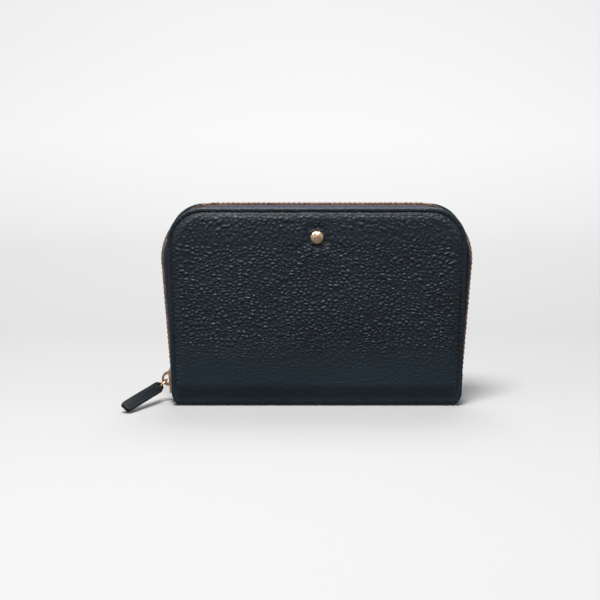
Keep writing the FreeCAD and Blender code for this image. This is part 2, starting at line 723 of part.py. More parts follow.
def spine():
    """The fold between the covers: a leather strip with its board and lining."""
    long = "spine_half_length"
    strip = block("spine_strip", (f"0 - {long}", "0 - half_depth", "0"), (long, "half_depth", "spine_height"))
    seat = block("spine_seat", (f"0 - {long} + leather_thick", "0 - spine_board_half - layer_gap",
                                "spine_height - spine_board_thick"),
                 (f"{long} - leather_thick", "spine_board_half + layer_gap", "spine_height + layer_gap"))
    rounded = doc.addObject("Part::Fillet", "spine_rounded")
    rounded.Base = strip
    doc.recompute()
    radius = size("spine_round")
    edges = [(n, radius, radius) for n, edge in enumerate(strip.Shape.Edges, 1)
             if abs(edge.BoundBox.ZMax) < 1e-6 and edge.BoundBox.XLength > 1]
    rounded.Edges = edges
    node("spine_leather", cut("spine_leather_cut", rounded, seat))
    board = block("spine_board", (f"0 - {long} + leather_thick + layer_gap", "0 - spine_board_half",
                                  "spine_height - spine_board_thick"),
                  (f"{long} - leather_thick - layer_gap", "spine_board_half", "spine_height"))
    node("spine_board", board)
    lining = block("spine_lining", (f"0 - {long}", "0 - spine_lining_half", "spine_height"),
                   (long, "spine_lining_half", "spine_height + lining_thick"))
    node("spine_lining", lining)


def coin_pocket():
    """Two walls and a gusset standing on the spine, with a small zip across the mouth."""
    foot = "spine_height + lining_thick"
    half, depth, wall = "pocket_half_width", "pocket_half_depth", "pocket_wall"
    node("coin_wall_front", block("coin_front", (f"0 - {half}", f"0 - {depth}", foot),
                                  (half, f"{wall} - {depth}", "pocket_top")))
    node("coin_wall_back", block("coin_back", (f"0 - {half}", f"{depth} - {wall}", foot),
                                 (half, depth, "pocket_top")))
    outside = block("gusset_outside", (f"0 - {half}", f"{wall} - {depth}", foot),
                    (half, f"{depth} - {wall}", "pocket_top"))
    inside = block("gusset_inside", (f"{wall} - {half}", f"0 - {depth}", f"{foot} + {wall}"),
                   (f"{half} - {wall}", depth, "pocket_top + layer_gap"))
    node("coin_gusset", cut("coin_gusset_cut", outside, inside))
    for side, turn in SIDES.items():
        strip = block(f"coin_tape_{side}_strip", (f"0 - {half}", "0 - coin_tape_half", "pocket_top"),
                      (half, "0 - coin_tape_edge", "pocket_top + tape_thick"))
        holder = doc.addObject("Part::Compound", f"coin_tape_{side}_set")
        holder.Links = [strip]
        node(f"coin_tape_{side}", holder, turn)
    deck = size("pocket_top") + size("tape_thick")
    reach = size("pocket_half_width") - 2 * size("coin_pitch")
    for side, facing in (("front", -1), ("back", 1)):
        pieces = []
        x = -reach + (0 if side == "front" else size("coin_pitch") / 2)
        while x < reach:
            root, head = facing * size("coin_tooth_root"), -facing * size("coin_tooth_head")
            pieces.append(Part.makeBox(size("coin_tooth"), abs(root - head), size("coin_tooth_rise"),
                                       Vector(x, min(root, head), deck)))
            x += size("coin_pitch")
        shaped(f"coin_teeth_{side}", Part.makeCompound(pieces))
    long, gap = size("coin_stop_long"), size("coin_stop_gap")
    ends = [Part.makeBox(long, 2 * size("coin_tooth_root"), size("coin_tooth_rise"),
                         Vector(x, -size("coin_tooth_root"), deck))
            for x in (-reach - gap - long, reach + gap)]
    shaped("coin_stops", Part.makeCompound(ends))


def coin_slider():
    """The coin zip's slider, its bridge and its small metal puller, which lies flat."""
    deck = "pocket_top + tape_thick"
    roof = f"{deck} + coin_tooth_rise + 2 * layer_gap"
    far = "coin_slider_x + coin_slider_length"
    cap = block("coin_cap", ("coin_slider_x", "0 - coin_tooth_root - coin_slider_side", f"{deck} + layer_gap"),
                (far, "coin_tooth_root + coin_slider_side", f"{roof} + coin_slider_wall"))
    tunnel = block("coin_tunnel", ("coin_slider_x - layer_gap", "0 - coin_tooth_root - 2 * layer_gap", deck),
                   (f"{far} + layer_gap", "coin_tooth_root + 2 * layer_gap", roof))
    node("coin_slider", cut("coin_slider_cut", cap, tunnel))
    top = number(f"{roof} + coin_slider_wall")
    middle = size("coin_slider_x") + size("coin_slider_length") / 2
    long, wide, high = size("coin_lug_long"), size("coin_lug_wide"), size("coin_lug_high")
    across, radius = Vector(0, 1, 0), size("coin_pin_radius")
    pivot = Vector(middle, 0, top + high / 2)
    lug = Part.makeBox(long, wide, high, Vector(middle - long / 2, -wide / 2, top))
    eye = Part.makeCylinder(radius + size("layer_gap") / 2, 2 * wide, pivot - across * wide, across)
    shaped("coin_slider_lug", lug.cut(eye))
    half, thick = size("coin_puller_half"), size("coin_puller_thick")
    reach, low = half - thick / 3, pivot.z - thick / 2
    pin = Part.makeCylinder(radius, 2 * reach, pivot - across * reach, across)
    arms = [Part.makeBox(size("coin_arm_long"), thick, thick, Vector(middle - radius, y, low))
            for y in (-half, half - thick)]
    plate = Part.makeBox(size("coin_plate_long"), 2 * half, thick, Vector(middle + half, -half, low))
    shaped("coin_puller", pin.fuse(arms + [plate]).removeSplitter())
    print("coin puller pivot", pivot.x, pivot.z)


for cover_side in SIDES:
    cover(cover_side)
    card_plies(cover_side)
    slot_seams(cover_side)
    edge_stitches(cover_side)
    zip_tape(cover_side)
    zip_teeth(cover_side)
stud()
stops()
slider()
puller()
spine()
coin_pocket()
coin_slider()

doc.recompute()
for item in doc.Objects:
    faults = [state for state in item.State if state in ("Invalid", "Error")]
    if faults:
        raise RuntimeError(f"{item.Name}: {faults}")
os.makedirs("parts", exist_ok=True)
for label, piece in nodes.items():
    if piece.Shape.isNull() or not piece.Shape.isValid() or not piece.Shape.Solids:
        raise RuntimeError(f"{label} has no valid solid")
    piece.Shape.exportStep(f"parts/{label}.step")
print(len(nodes), "sub-parts,", sum(len(piece.Shape.Solids) for piece in nodes.values()), "solids")
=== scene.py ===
"""Looks of a small zip-around leather card holder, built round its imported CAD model.

Shapes are worked out in millimetres and written in metres. The front cover faces -Y and is drawn;
the back cover is the same turned half round about Z.
"""
import math

import bmesh
import bpy
import numpy as np
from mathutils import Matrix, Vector


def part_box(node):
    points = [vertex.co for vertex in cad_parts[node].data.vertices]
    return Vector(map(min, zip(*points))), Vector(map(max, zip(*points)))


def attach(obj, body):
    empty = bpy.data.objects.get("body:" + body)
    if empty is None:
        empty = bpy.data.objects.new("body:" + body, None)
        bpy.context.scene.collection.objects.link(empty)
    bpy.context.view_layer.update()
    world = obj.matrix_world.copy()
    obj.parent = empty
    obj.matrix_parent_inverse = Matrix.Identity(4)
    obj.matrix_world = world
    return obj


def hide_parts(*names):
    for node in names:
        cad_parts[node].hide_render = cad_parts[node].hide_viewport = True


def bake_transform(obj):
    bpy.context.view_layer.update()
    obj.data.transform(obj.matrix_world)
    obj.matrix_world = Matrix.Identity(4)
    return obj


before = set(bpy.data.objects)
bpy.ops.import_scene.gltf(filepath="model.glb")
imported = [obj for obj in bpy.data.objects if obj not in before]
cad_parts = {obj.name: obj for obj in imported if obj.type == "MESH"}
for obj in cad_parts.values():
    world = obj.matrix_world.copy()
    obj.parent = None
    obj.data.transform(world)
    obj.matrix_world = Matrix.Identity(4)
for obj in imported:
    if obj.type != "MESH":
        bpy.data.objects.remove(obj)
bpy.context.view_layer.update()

MM = 0.001


def node_box(name):
    """A CAD node's lowest and highest corners in millimetres."""
    low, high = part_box(name)
    return np.array(low) / MM, np.array(high) / MM


# ---- sizes read from the frame ----------------------------------------------------------------------
leather_low, leather_high = node_box("front_leather")
tape_high = node_box("front_zip_tape")[1]

COVER_LEAN = math.radians(1.2)
COVER_CORNER = 16.0
COVER_TOP = leather_high[2]
COVER_MIDDLE = leather_high[0] - COVER_CORNER
COVER_FOOT_HALF = (COVER_MIDDLE + COVER_CORNER / math.cos(COVER_LEAN)
                   - math.tan(COVER_LEAN) * (COVER_TOP - COVER_CORNER))
HALF_DEPTH = 10.0
PADDING = -leather_low[1] - HALF_DEPTH
COVER_THICK = HALF_DEPTH + leather_high[1]
EDGE_ROUND = 0.9
FOOT_ROUND = 2.2
FLOOR_GAP = 0.15
GROOVE_INSET = 2.2
SEAM_INSET = 3.3
SEAM_FOOT = 7.0
STITCH_PITCH = 3.8
FLOOR_CLEARANCE = 0.02
STUD_HEIGHT = float(sum(np.array(node_box("stud_cap"))[:, 2]) / 2)

ZIP_LEAN = math.radians(4.1)
ZIP_CORNER = 23.9
TAPE_THICK = 0.6
ZIP_TOP = tape_high[2] - TAPE_THICK / 2
ZIP_FOOT_HALF = (tape_high[0] - TAPE_THICK / 2 - ZIP_CORNER + ZIP_CORNER / math.cos(ZIP_LEAN)
                 - math.tan(ZIP_LEAN) * (ZIP_TOP - ZIP_CORNER))


# ---- outlines ---------------------------------------------------------------------------------------

def arch(foot_half, lean, corner, top, inset=0.0):
    """An arch drawn in by an inset, as a dictionary of what describes it."""
    foot_half -= inset / math.cos(lean)
    corner, top = corner - inset, top - inset
    height = top - corner
    middle = foot_half + math.tan(lean) * height - corner / math.cos(lean)
    return {"foot_half": foot_half, "lean": lean, "corner": corner, "top": top, "height": height,
            "middle": middle}


def half_width(shape, z):
    """Half the arch's width at a height."""
    z = np.asarray(z, float)
    rise = np.clip(z - shape["height"], 0, shape["corner"])
    side = shape["foot_half"] + math.tan(shape["lean"]) * z
    round_part = shape["middle"] + np.sqrt(np.maximum(shape["corner"] ** 2 - rise ** 2, 0))
    return np.where(z > shape["height"] - shape["corner"] * math.sin(shape["lean"]),
                    np.minimum(round_part, side), side)


def inside_by(shape, x, z):
    """How far a point lies inside the arch's sides and top."""
    x = np.abs(x)
    side = (shape["foot_half"] + math.tan(shape["lean"]) * z - x) * math.cos(shape["lean"])
    flat = np.minimum(side, shape["top"] - z)
    across, up = x - shape["middle"], z - shape["height"]
    in_corner = (across > 0) & (up > 0)
    return np.where(in_corner, shape["corner"] - np.hypot(across, up), flat)


def arch_stations(shape, left_foot, right_foot, pitch, first=0.0):
    """Points a pitch apart along the arch from the left foot to the right: place, way along, way out."""
    lean, corner = shape["lean"], shape["corner"]
    bend = shape["height"] - corner * math.sin(lean)
    slope = math.tan(lean)
    runs = [(bend - left_foot) / math.cos(lean), corner * (math.pi / 2 + lean), 2 * shape["middle"],
            corner * (math.pi / 2 + lean), (bend - right_foot) / math.cos(lean)]
    found, passed = [], first
    total = sum(runs)
    while passed <= total:
        part, rest = 0, passed
        while part < 4 and rest > runs[part]:
            rest -= runs[part]
            part += 1
        if part == 0:
            z = left_foot + rest * math.cos(lean)
            place, out = (-(shape["foot_half"] + slope * z), z), (-math.cos(lean), -math.sin(lean))
        elif part == 4:
            z = bend - rest * math.cos(lean)
            place, out = (shape["foot_half"] + slope * z, z), (math.cos(lean), -math.sin(lean))
        elif part == 2:
            place, out = (rest - shape["middle"], shape["top"]), (0.0, 1.0)
        else:
            turn = (math.pi + lean - rest / corner) if part == 1 else (math.pi / 2 - rest / corner)
            out = (math.cos(turn), math.sin(turn))
            side = -1 if part == 1 else 1
            place = (side * shape["middle"] + corner * out[0], shape["height"] + corner * out[1])
        found.append((np.array([place[0], 0, place[1]]), np.array([out[1], 0, -out[0]]),
                      np.array([out[0], 0, out[1]])))
        passed += pitch
    return found


# ---- meshes -----------------------------------------------------------------------------------------

def new_mesh(name, points, faces, material, smooth=True):
    """A mesh object from points in millimetres."""
    mesh = bpy.data.meshes.new(name)
    mesh.from_pydata([tuple(p) for p in np.asarray(points) * MM], [], faces)
    mesh.validate()
    for polygon in mesh.polygons:
        polygon.use_smooth = smooth
    piece = bpy.data.objects.new(name, mesh)
    bpy.context.collection.objects.link(piece)
    mesh.materials.append(material)
    return piece


def grid_faces(rows, columns, start=0, flip=False, closed=False):
    """Quads of a grid of points stored row by row."""
    faces = []
    for r in range(rows - 1):
        for c in range(columns if closed else columns - 1):
            a, b = start + r * columns + c, start + r * columns + (c + 1) % columns
            quad = (a, b, b + columns, a + columns)
            faces.append(quad[::-1] if flip else quad)
    return faces


def face_outwards(piece):
    """Makes a closed mesh's faces point outwards."""
    made = bmesh.new()
    made.from_mesh(piece.data)
    bmesh.ops.remove_doubles(made, verts=made.verts, dist=1e-7)
    bmesh.ops.recalc_face_normals(made, faces=made.faces)
    made.to_mesh(piece.data)
    made.free()
    return piece


def turned(points, side):
    """Points as drawn for the front, or turned half round about Z for the back."""
    return points if side == "front" else points * np.array([-1, -1, 1])


def smooth_step(value, low, high):
    """0 below low, 1 above high, and a smooth rise between."""
    t = np.clip((value - low) / (high - low), 0, 1)
    return t * t * (3 - 2 * t)


def scatter(i, j, salt):
    """A repeatable number from 0 to 1 for each pair of whole numbers."""
    mixed = np.sin(i * 127.1 + j * 311.7 + salt * 74.7) * 43758.5453
    return mixed - np.floor(mixed)


def value_noise(x, y, salt):
    """Smooth noise from 0 to 1 with features about one unit across."""
    i, j = np.floor(x), np.floor(y)
    u, v = smooth_step(x - i, 0, 1), smooth_step(y - j, 0, 1)
    low = scatter(i, j, salt) * (1 - u) + scatter(i + 1, j, salt) * u
    high = scatter(i, j + 1, salt) * (1 - u) + scatter(i + 1, j + 1, salt) * u
    return low * (1 - v) + high * v


def cells(u, v, salt):
    """Distances from each point to its nearest and second nearest scattered seeds, one to a unit square."""
    i, j = np.floor(u), np.floor(v)
    nearest = np.full(u.shape, 9.0)
    second = np.full(u.shape, 9.0)
    for di in (-1, 0, 1):
        for dj in (-1, 0, 1):
            seed_u = i + di + 0.05 + 0.9 * scatter(i + di, j + dj, salt)
            seed_v = j + dj + 0.05 + 0.9 * scatter(i + di, j + dj, salt + 1)
            away = np.hypot(u - seed_u, v - seed_v)
            second = np.minimum(second, np.maximum(away, nearest))
            nearest = np.minimum(nearest, away)
    return nearest, second


PEBBLE_WIDE, PEBBLE_TALL, PEBBLE_CREASE = 2.35, 1.45, 0.62
WRINKLE_WIDE, WRINKLE_TALL, WRINKLE_CREASE, WRINKLE_SHARE = 5.2, 2.1, 0.35, 0.55


def drift(x, z, reach, wide, tall, salt):
    """A smooth wander of up to half a reach each way, over patches of a width and a height."""
    return reach * (value_noise(x / wide, z / tall, salt) - 0.5)


def pebbles(x, z, salt):
    """Leather grain: 1 on the crown of a pebble and 0 in the creases between pebbles."""
    wander_x = drift(x, z, 3.0, 9, 9, salt + 1) + drift(x, z, 1.0, 2, 2, salt + 5)
    wander_z = drift(x, z, 3.4, 10, 8, salt + 2) + drift(x, z, 0.8, 2, 2, salt + 7)
    nearest, second = cells((x + wander_x) / PEBBLE_WIDE, (z + wander_z) / PEBBLE_TALL, salt + 3)
    crown = smooth_step(second - nearest, 0.0, PEBBLE_CREASE)
    nearest, second = cells((x - wander_z) / WRINKLE_WIDE, (z + wander_x) / WRINKLE_TALL, salt + 13)
    fold = smooth_step(second - nearest, 0.0, WRINKLE_CREASE)
    return crown * (1 - WRINKLE_SHARE + WRINKLE_SHARE * fold)


# ---- materials --------------------------------------------------------------------------------------

class Surface:
    """A material with a principled shader and short ways to add nodes to it."""

    def __init__(self, name, colour, roughness, **sockets):
        self.material = bpy.data.materials.new(name)
        self.material.use_nodes = True
        self.tree = self.material.node_tree
        self.shader = self.tree.nodes["Principled BSDF"]
        self.shader.inputs["Base Color"].default_value = (*colour, 1)
        self.shader.inputs["Roughness"].default_value = roughness
        for socket, amount in sockets.items():
            self.shader.inputs[socket.replace("_", " ")].default_value = amount
        self.place = self.tree.nodes.new("ShaderNodeTexCoord").outputs["Object"]

    def add(self, kind, inputs=None, **settings):
        """A new node, with its settings and its inputs given as numbers or as other nodes' outputs."""
        node = self.tree.nodes.new(kind)
        for setting, amount in settings.items():
            setattr(node, setting, amount)
        for socket, amount in (inputs or {}).items():
            if isinstance(amount, bpy.types.NodeSocket):
                self.tree.links.new(amount, node.inputs[socket])
            else:
                node.inputs[socket].default_value = amount
        return node

    def stretched(self, x, y, z):
        """The object's own coordinates scaled along each axis, per metre."""
        return self.add("ShaderNodeMapping", {"Vector": self.place, "Scale": (x, y, z)}).outputs[0]

    def noise(self, scale, detail=3.0, vector=None):
        """Noise with features about 1 / scale metres across."""
        node = self.add("ShaderNodeTexNoise", {"Vector": vector or self.place, "Scale": scale,
                                               "Detail": detail})
        return node.outputs["Fac"]

    def dimples(self, scale):
        """Distance from scattered seeds about 1 / scale metres apart."""
        return self.add("ShaderNodeTexVoronoi", {"Vector": self.place, "Scale": scale}).outputs["Distance"]

    def ramp(self, value, stops):
        """A colour ramp through (place, colour) stops."""
        node = self.add("ShaderNodeValToRGB", {"Fac": value})
        points = node.color_ramp.elements
        while len(points) < len(stops):
            points.new(0.5)
        for point, (place, colour) in zip(points, stops):
            point.position = place
            point.color = (*colour, 1)
        return node.outputs["Color"]

    def span(self, value, low, high, to_low, to_high):
        """A value carried from one range to another, held at its ends."""
        return self.add("ShaderNodeMapRange", {"Value": value, "From Min": low, "From Max": high,
                                               "To Min": to_low, "To Max": to_high}).outputs["Result"]

    def math(self, operation, a, b):
        """Two values joined by an operation."""
        return self.add("ShaderNodeMath", {0: a, 1: b}, operation=operation).outputs[0]

    def bump(self, height, depth, strength=1.0, under=None):
        """Relief of a depth in metres from a height, over an earlier relief."""
        inputs = {"Height": height, "Distance": depth, "Strength": strength}
        if under is not None:
            inputs["Normal"] = under
        return self.add("ShaderNodeBump", inputs).outputs["Normal"]

    def finish(self, colour=None, roughness=None, normal=None):
        """Joins what is given to the shader."""
        for socket, output in (("Base Color", colour), ("Roughness", roughness), ("Normal", normal)):
            if output is not None:
                self.tree.links.new(output, self.shader.inputs[socket])
        return self.material


def grained_leather(name, dark, light):
    """Full-grain leather: its pebbles come with the mesh; the colour holds painted shade, darker in the
    creases, and painted highlight, lighter on the crowns, and the creases are duller.
    """
    made = Surface(name, light, 0.5, Specular_IOR_Level=0.5)
    grain = made.add("ShaderNodeAttribute", attribute_name="grain").outputs["Fac"]
    mottle, pores, hair = made.noise(45), made.noise(2600), made.dimples(1100.0)
    # Painted shade and highlight: the grain value makes the colour much darker in the creases and lighter on
    # the pebble crowns; the mottle is the leather's own uneven tone.
    tone = made.math("ADD", made.span(grain, 0, 1, 0.0, 0.8), made.span(mottle, 0.3, 0.7, -0.05, 0.3))
    colour = made.ramp(tone, [(0.0, [c * 0.45 for c in dark]), (0.35, dark), (1.0, light)])
    roughness = made.math("ADD", made.span(grain, 0, 1, 0.56, 0.42),
                          made.span(pores, 0.3, 0.7, -0.04, 0.06))
    fine = made.bump(hair, 0.00007, 0.55)
    folds = made.noise(620, vector=made.stretched(1.0, 1.0, 1.5))
    upper = made.bump(folds, 0.00045, 0.7, fine)
    return made.finish(colour, roughness, made.bump(pores, 0.00005, 0.6, upper))


def smooth_leather(name, dark, light, roughness=0.55):
    """Lining leather: flat, with fine pores and a faint mottle."""
    made = Surface(name, light, roughness, Specular_IOR_Level=0.4)
    pores, mottle = made.dimples(1500.0), made.noise(70, 4)
    colour = made.ramp(mottle, [(0.3, dark), (0.7, light)])
    dull = made.span(made.noise(900, 2), 0.3, 0.7, roughness - 0.08, roughness + 0.1)
    relief = made.bump(made.noise(400), 0.00008, 0.5)
    return made.finish(colour, dull, made.bump(pores, 0.00006, 0.6, relief))


def metal(name, light, dark, roughness, relief_scale, relief_depth):
    """Plated metal with fine scratches and slightly darker, duller patches."""
    made = Surface(name, light, roughness, Metallic=1.0)
    worn = made.noise(260, 4)
    scratch = made.noise(1800, 2, made.stretched(1, 1, 0.12))
    colour = made.ramp(worn, [(0.35, dark), (0.62, light)])
    dull = made.span(made.math("ADD", worn, scratch), 0.7, 1.3, roughness - 0.07, roughness + 0.14)
    fine = made.bump(scratch, 0.00001, 0.4)
    return made.finish(colour, dull, made.bump(made.dimples(relief_scale), relief_depth, 0.8, fine))


YARN_SCALE = 1500.0 / 6.5


def woven(name, dark, light):
    """Herringbone zip tape: two sets of slanting yarns, with a slight fuzz."""
    made = Surface(name, light, 0.85, Sheen_Weight=0.25, Specular_IOR_Level=0.2)
    parts = []
    for slant in (1, -1):
        rows = made.add("ShaderNodeTexWave", {"Vector": made.stretched(1.0, slant, 1.0), "Scale": YARN_SCALE,
                                              "Distortion": 1.0, "Detail": 1.0},
                        wave_type="BANDS", bands_direction="DIAGONAL")
        parts.append(rows.outputs["Fac"])
    weave = made.math("MULTIPLY", parts[0], parts[1])
    fuzz = made.noise(3000, 2)
    colour = made.ramp(made.math("ADD", weave, made.span(fuzz, 0.3, 0.7, -0.2, 0.2)),
                       [(0.0, dark), (0.8, light)])
    relief = made.bump(weave, 0.00012, 0.9)
    return made.finish(colour, made.span(fuzz, 0.3, 0.7, 0.8, 0.95), made.bump(fuzz, 0.00003, 0.5, relief))


def thread_finish(name, dark, light):
    """Waxed twisted thread."""
    made = Surface(name, light, 0.55, Sheen_Weight=0.1)
    twist = made.add("ShaderNodeTexWave", {"Vector": made.place, "Scale": 420.0, "Distortion": 0.5},
                     bands_direction="DIAGONAL").outputs["Fac"]
    colour = made.ramp(twist, [(0.1, dark), (0.8, light)])
    return made.finish(colour, made.span(twist, 0, 1, 0.7, 0.45), made.bump(twist, 0.00006, 0.8))


def plain_board(name, dark, light):
    """Cut board or foam, seen only at its edges."""
    made = Surface(name, light, 0.9, Specular_IOR_Level=0.2)
    fibres = made.noise(900, 4)
    return made.finish(made.ramp(fibres, [(0.35, dark), (0.65, light)]), None, made.bump(fibres, 0.0001, 0.5))


# Navy leather: the dark tone, and the still darker ramp stop below it, are painted shade for the creases; the
# light tone is the crowns with painted highlight.
NAVY = grained_leather("navy_leather", (0.0045, 0.0125, 0.0200), (0.0100, 0.0230, 0.0340))
CARD_LEATHER = smooth_leather("card_leather", (0.016, 0.026, 0.038), (0.026, 0.040, 0.055))
LINING_LEATHER = smooth_leather("lining_leather", (0.020, 0.030, 0.044), (0.032, 0.046, 0.062), 0.68)
TAB_LEATHER = smooth_leather("puller_leather", (0.006, 0.010, 0.014), (0.014, 0.020, 0.027), 0.5)
TAPE = woven("zip_tape", (0.012, 0.010, 0.026), (0.045, 0.038, 0.078))
THREAD = thread_finish("navy_thread", (0.008, 0.013, 0.019), (0.026, 0.038, 0.050))
ROSE = metal("rose_gold", (1.0, 0.68, 0.44), (0.80, 0.46, 0.26), 0.30, 300.0, 0.00001)
ROSE_STUD = metal("rose_gold_stud", (1.0, 0.76, 0.54), (0.88, 0.56, 0.36), 0.36, 1300.0, 0.00030)
TEETH_METAL = metal("rose_gold_teeth", (0.86, 0.58, 0.36), (0.46, 0.27, 0.15), 0.32, 300.0, 0.00001)
BOARD = plain_board("board", (0.16, 0.14, 0.12), (0.26, 0.23, 0.20))
FOAM = plain_board("foam", (0.22, 0.22, 0.23), (0.33, 0.33, 0.34))


# ---- covers -----------------------------------------------------------------------------------------

COVER = dict(foot_half=COVER_FOOT_HALF, lean=COVER_LEAN, corner=COVER_CORNER, top=COVER_TOP)
COLUMNS = 400
FACE_STEP = 0.32
CORNER_ROWS, ROUND_ROWS = 46, 14
ROUND_TAPER = 0.12
MIDDLE_GAP = 0.05
TAPER_DEPTH, TAPER_REACH = 3.0, 6.0

# The padded field: how it swells from the groove, and falls off to the foot and the top
FIELD_RUN, FIELD_FOOT = 4.2, (2.5, 10.5)
TOP_FALL, TOP_FALL_RUN = 0.9, 17.0
SLACK_DEPTH, SLACK_WIDE, SLACK_TALL = 0.35, 26, 22
GROOVE_DEEP, GROOVE_WIDE, GROOVE_FOOT = 0.42, 0.38, (2.0, 9.0)

# The depth of the grain, which is flatter at the foot and at the edge
GRAIN_LEAST, GRAIN_RISE, GRAIN_RISE_FROM = 0.06, 0.42, (14.0, 36.0)
GRAIN_TOP_RISE, GRAIN_TOP_FROM = 0.04, (66.0, 84.0)
GRAIN_AT_EDGE = 0.30
FLAT_FOOT, FLAT_FOOT_GRAIN = 4.2, 0.05
# The grain tone, and with it the painted crease shade, gives way near the foot to one even light value; the
# turned edge takes a middle value.
DULL_FOOT_FROM, DULL_FOOT_GRAIN, EDGE_GRAIN = (12.0, 34.0), 0.95, 0.55

# The leather drawn in round the stud, and the creases that fan out below it
STUD_SEAT, STUD_SEAT_GAP = 2.7, 0.02
DIP_DEEP, DIP_FAR, DIP_WIDE = 0.45, 4.3, 1.6
FAN_DEEP, FAN_FAR, FAN_WIDE, FAN_RAYS = 0.20, 9.0, 6.5, 9

# The seam: holes at each stitch's ends, darkened with painted shade, and the leather pulled down between them
HOLE_AWAY, HOLE_DEEP, HOLE_SPREAD, HOLE_PAINTED_SHADE = 1.25, 0.38, 0.30, 0.8
PULL_DEEP = 0.16
SINK_LIMIT = 0.8
UNDER_RELIEF = 0.1

TURNED_THICK = 1.7
FACING_ROW, FACING_COLUMN = 40, 150


def foot_taper(reach):
    """How much narrower the leather is below the face's foot, a distance along it."""
    return TAPER_DEPTH * np.clip(1 - reach / TAPER_REACH, 0, 1) ** 2


def cover_rows():
    """Rows down the cover from the top edge, round the foot and under to the middle.

    Each row is its half width, its place (y, z), its outward normal (y, z) and its distance down.
    """
    face = arch(inset=EDGE_ROUND, **COVER)
    bend = face["height"] - face["corner"] * math.sin(COVER_LEAN)
    heights = [face["height"] + face["corner"] * math.sin(turn)
               for turn in np.linspace(math.pi / 2, -COVER_LEAN, CORNER_ROWS)]
    heights += list(np.linspace(bend, FOOT_ROUND + FLOOR_GAP, int(bend / FACE_STEP))[1:])
    rows = []
    for z in heights:
        width = float(half_width(face, z)) - float(foot_taper(z))
        rows.append((width, -HALF_DEPTH, z, -1.0, 0.0, COVER_TOP - z))
    down = rows[-1][5]
    centre_y, centre_z = FOOT_ROUND - HALF_DEPTH, FOOT_ROUND + FLOOR_GAP
    for turn in np.linspace(0, math.pi / 2, ROUND_ROWS)[1:]:
        reach = down + FOOT_ROUND * turn
        z = centre_z - FOOT_ROUND * math.sin(turn)
        rows.append((rows[-1][0] - ROUND_TAPER, centre_y - FOOT_ROUND * math.cos(turn), z,
                     -math.cos(turn), -math.sin(turn), reach))
    width, start = rows[-1][0], rows[-1][5]
    for y in np.linspace(centre_y, -MIDDLE_GAP, ROUND_ROWS)[1:]:
        rows.append((width, y, FLOOR_GAP, 0.0, -1.0, start + y - centre_y))
    return rows


def padded_height(x, z, down, salt, with_stud):
    """How far the leather stands out of the cover's rim plane, and its grain value."""
    depth_in = inside_by(arch(**COVER), x, z)
    on_face = smooth_step(z, *FIELD_FOOT)
    puff = np.clip((depth_in - GROOVE_INSET) / FIELD_RUN, 0, 1)
    height = PADDING * np.sqrt(np.maximum(1 - (1 - puff) ** 2, 0)) * on_face
    near_top = np.clip((z - COVER_TOP + TOP_FALL_RUN) / TOP_FALL_RUN, 0, 1)
    height -= TOP_FALL * near_top ** 2 * on_face * puff
    height += drift(x, z, SLACK_DEPTH, SLACK_WIDE, SLACK_TALL, salt + 11) * puff * on_face
    groove = np.exp(-((depth_in - GROOVE_INSET) / GROOVE_WIDE) ** 2) * smooth_step(z, *GROOVE_FOOT)
    height -= GROOVE_DEEP * groove
    strength = (GRAIN_LEAST + GRAIN_RISE * smooth_step(z, *GRAIN_RISE_FROM)
                + GRAIN_TOP_RISE * smooth_step(z, *GRAIN_TOP_FROM))
    strength = strength * (GRAIN_AT_EDGE + (1 - GRAIN_AT_EDGE) * puff) * smooth_step(down, -1.0, 2.0)
    strength = np.where(z < FLAT_FOOT, FLAT_FOOT_GRAIN, strength)
    grain = pebbles(x, COVER_TOP - down, salt)
    height += strength * (grain - 0.5)
    if with_stud:
        away = np.hypot(x, z - STUD_HEIGHT)
        height -= DIP_DEEP * np.exp(-((away - DIP_FAR) / DIP_WIDE) ** 2)
        turn = np.arctan2(x, STUD_HEIGHT - z)
        rays = np.cos(turn * FAN_RAYS + 1.3 * np.sin(turn * 3))
        fan = np.exp(-((away - FAN_FAR) / FAN_WIDE) ** 2) * smooth_step(np.cos(turn), -0.2, 0.8)
        height += FAN_DEEP * rays * fan
        height = np.where(away < STUD_SEAT, PADDING + STUD_SEAT_GAP, height)
    return height, grain


def seam_stitches():
    """The middle of each stitch of a cover's seam, and its way along."""
    seam = arch(inset=SEAM_INSET, **COVER)
    return [station[:2] for station in arch_stations(seam, SEAM_FOOT, SEAM_FOOT, STITCH_PITCH,
                                                     STITCH_PITCH / 2)]


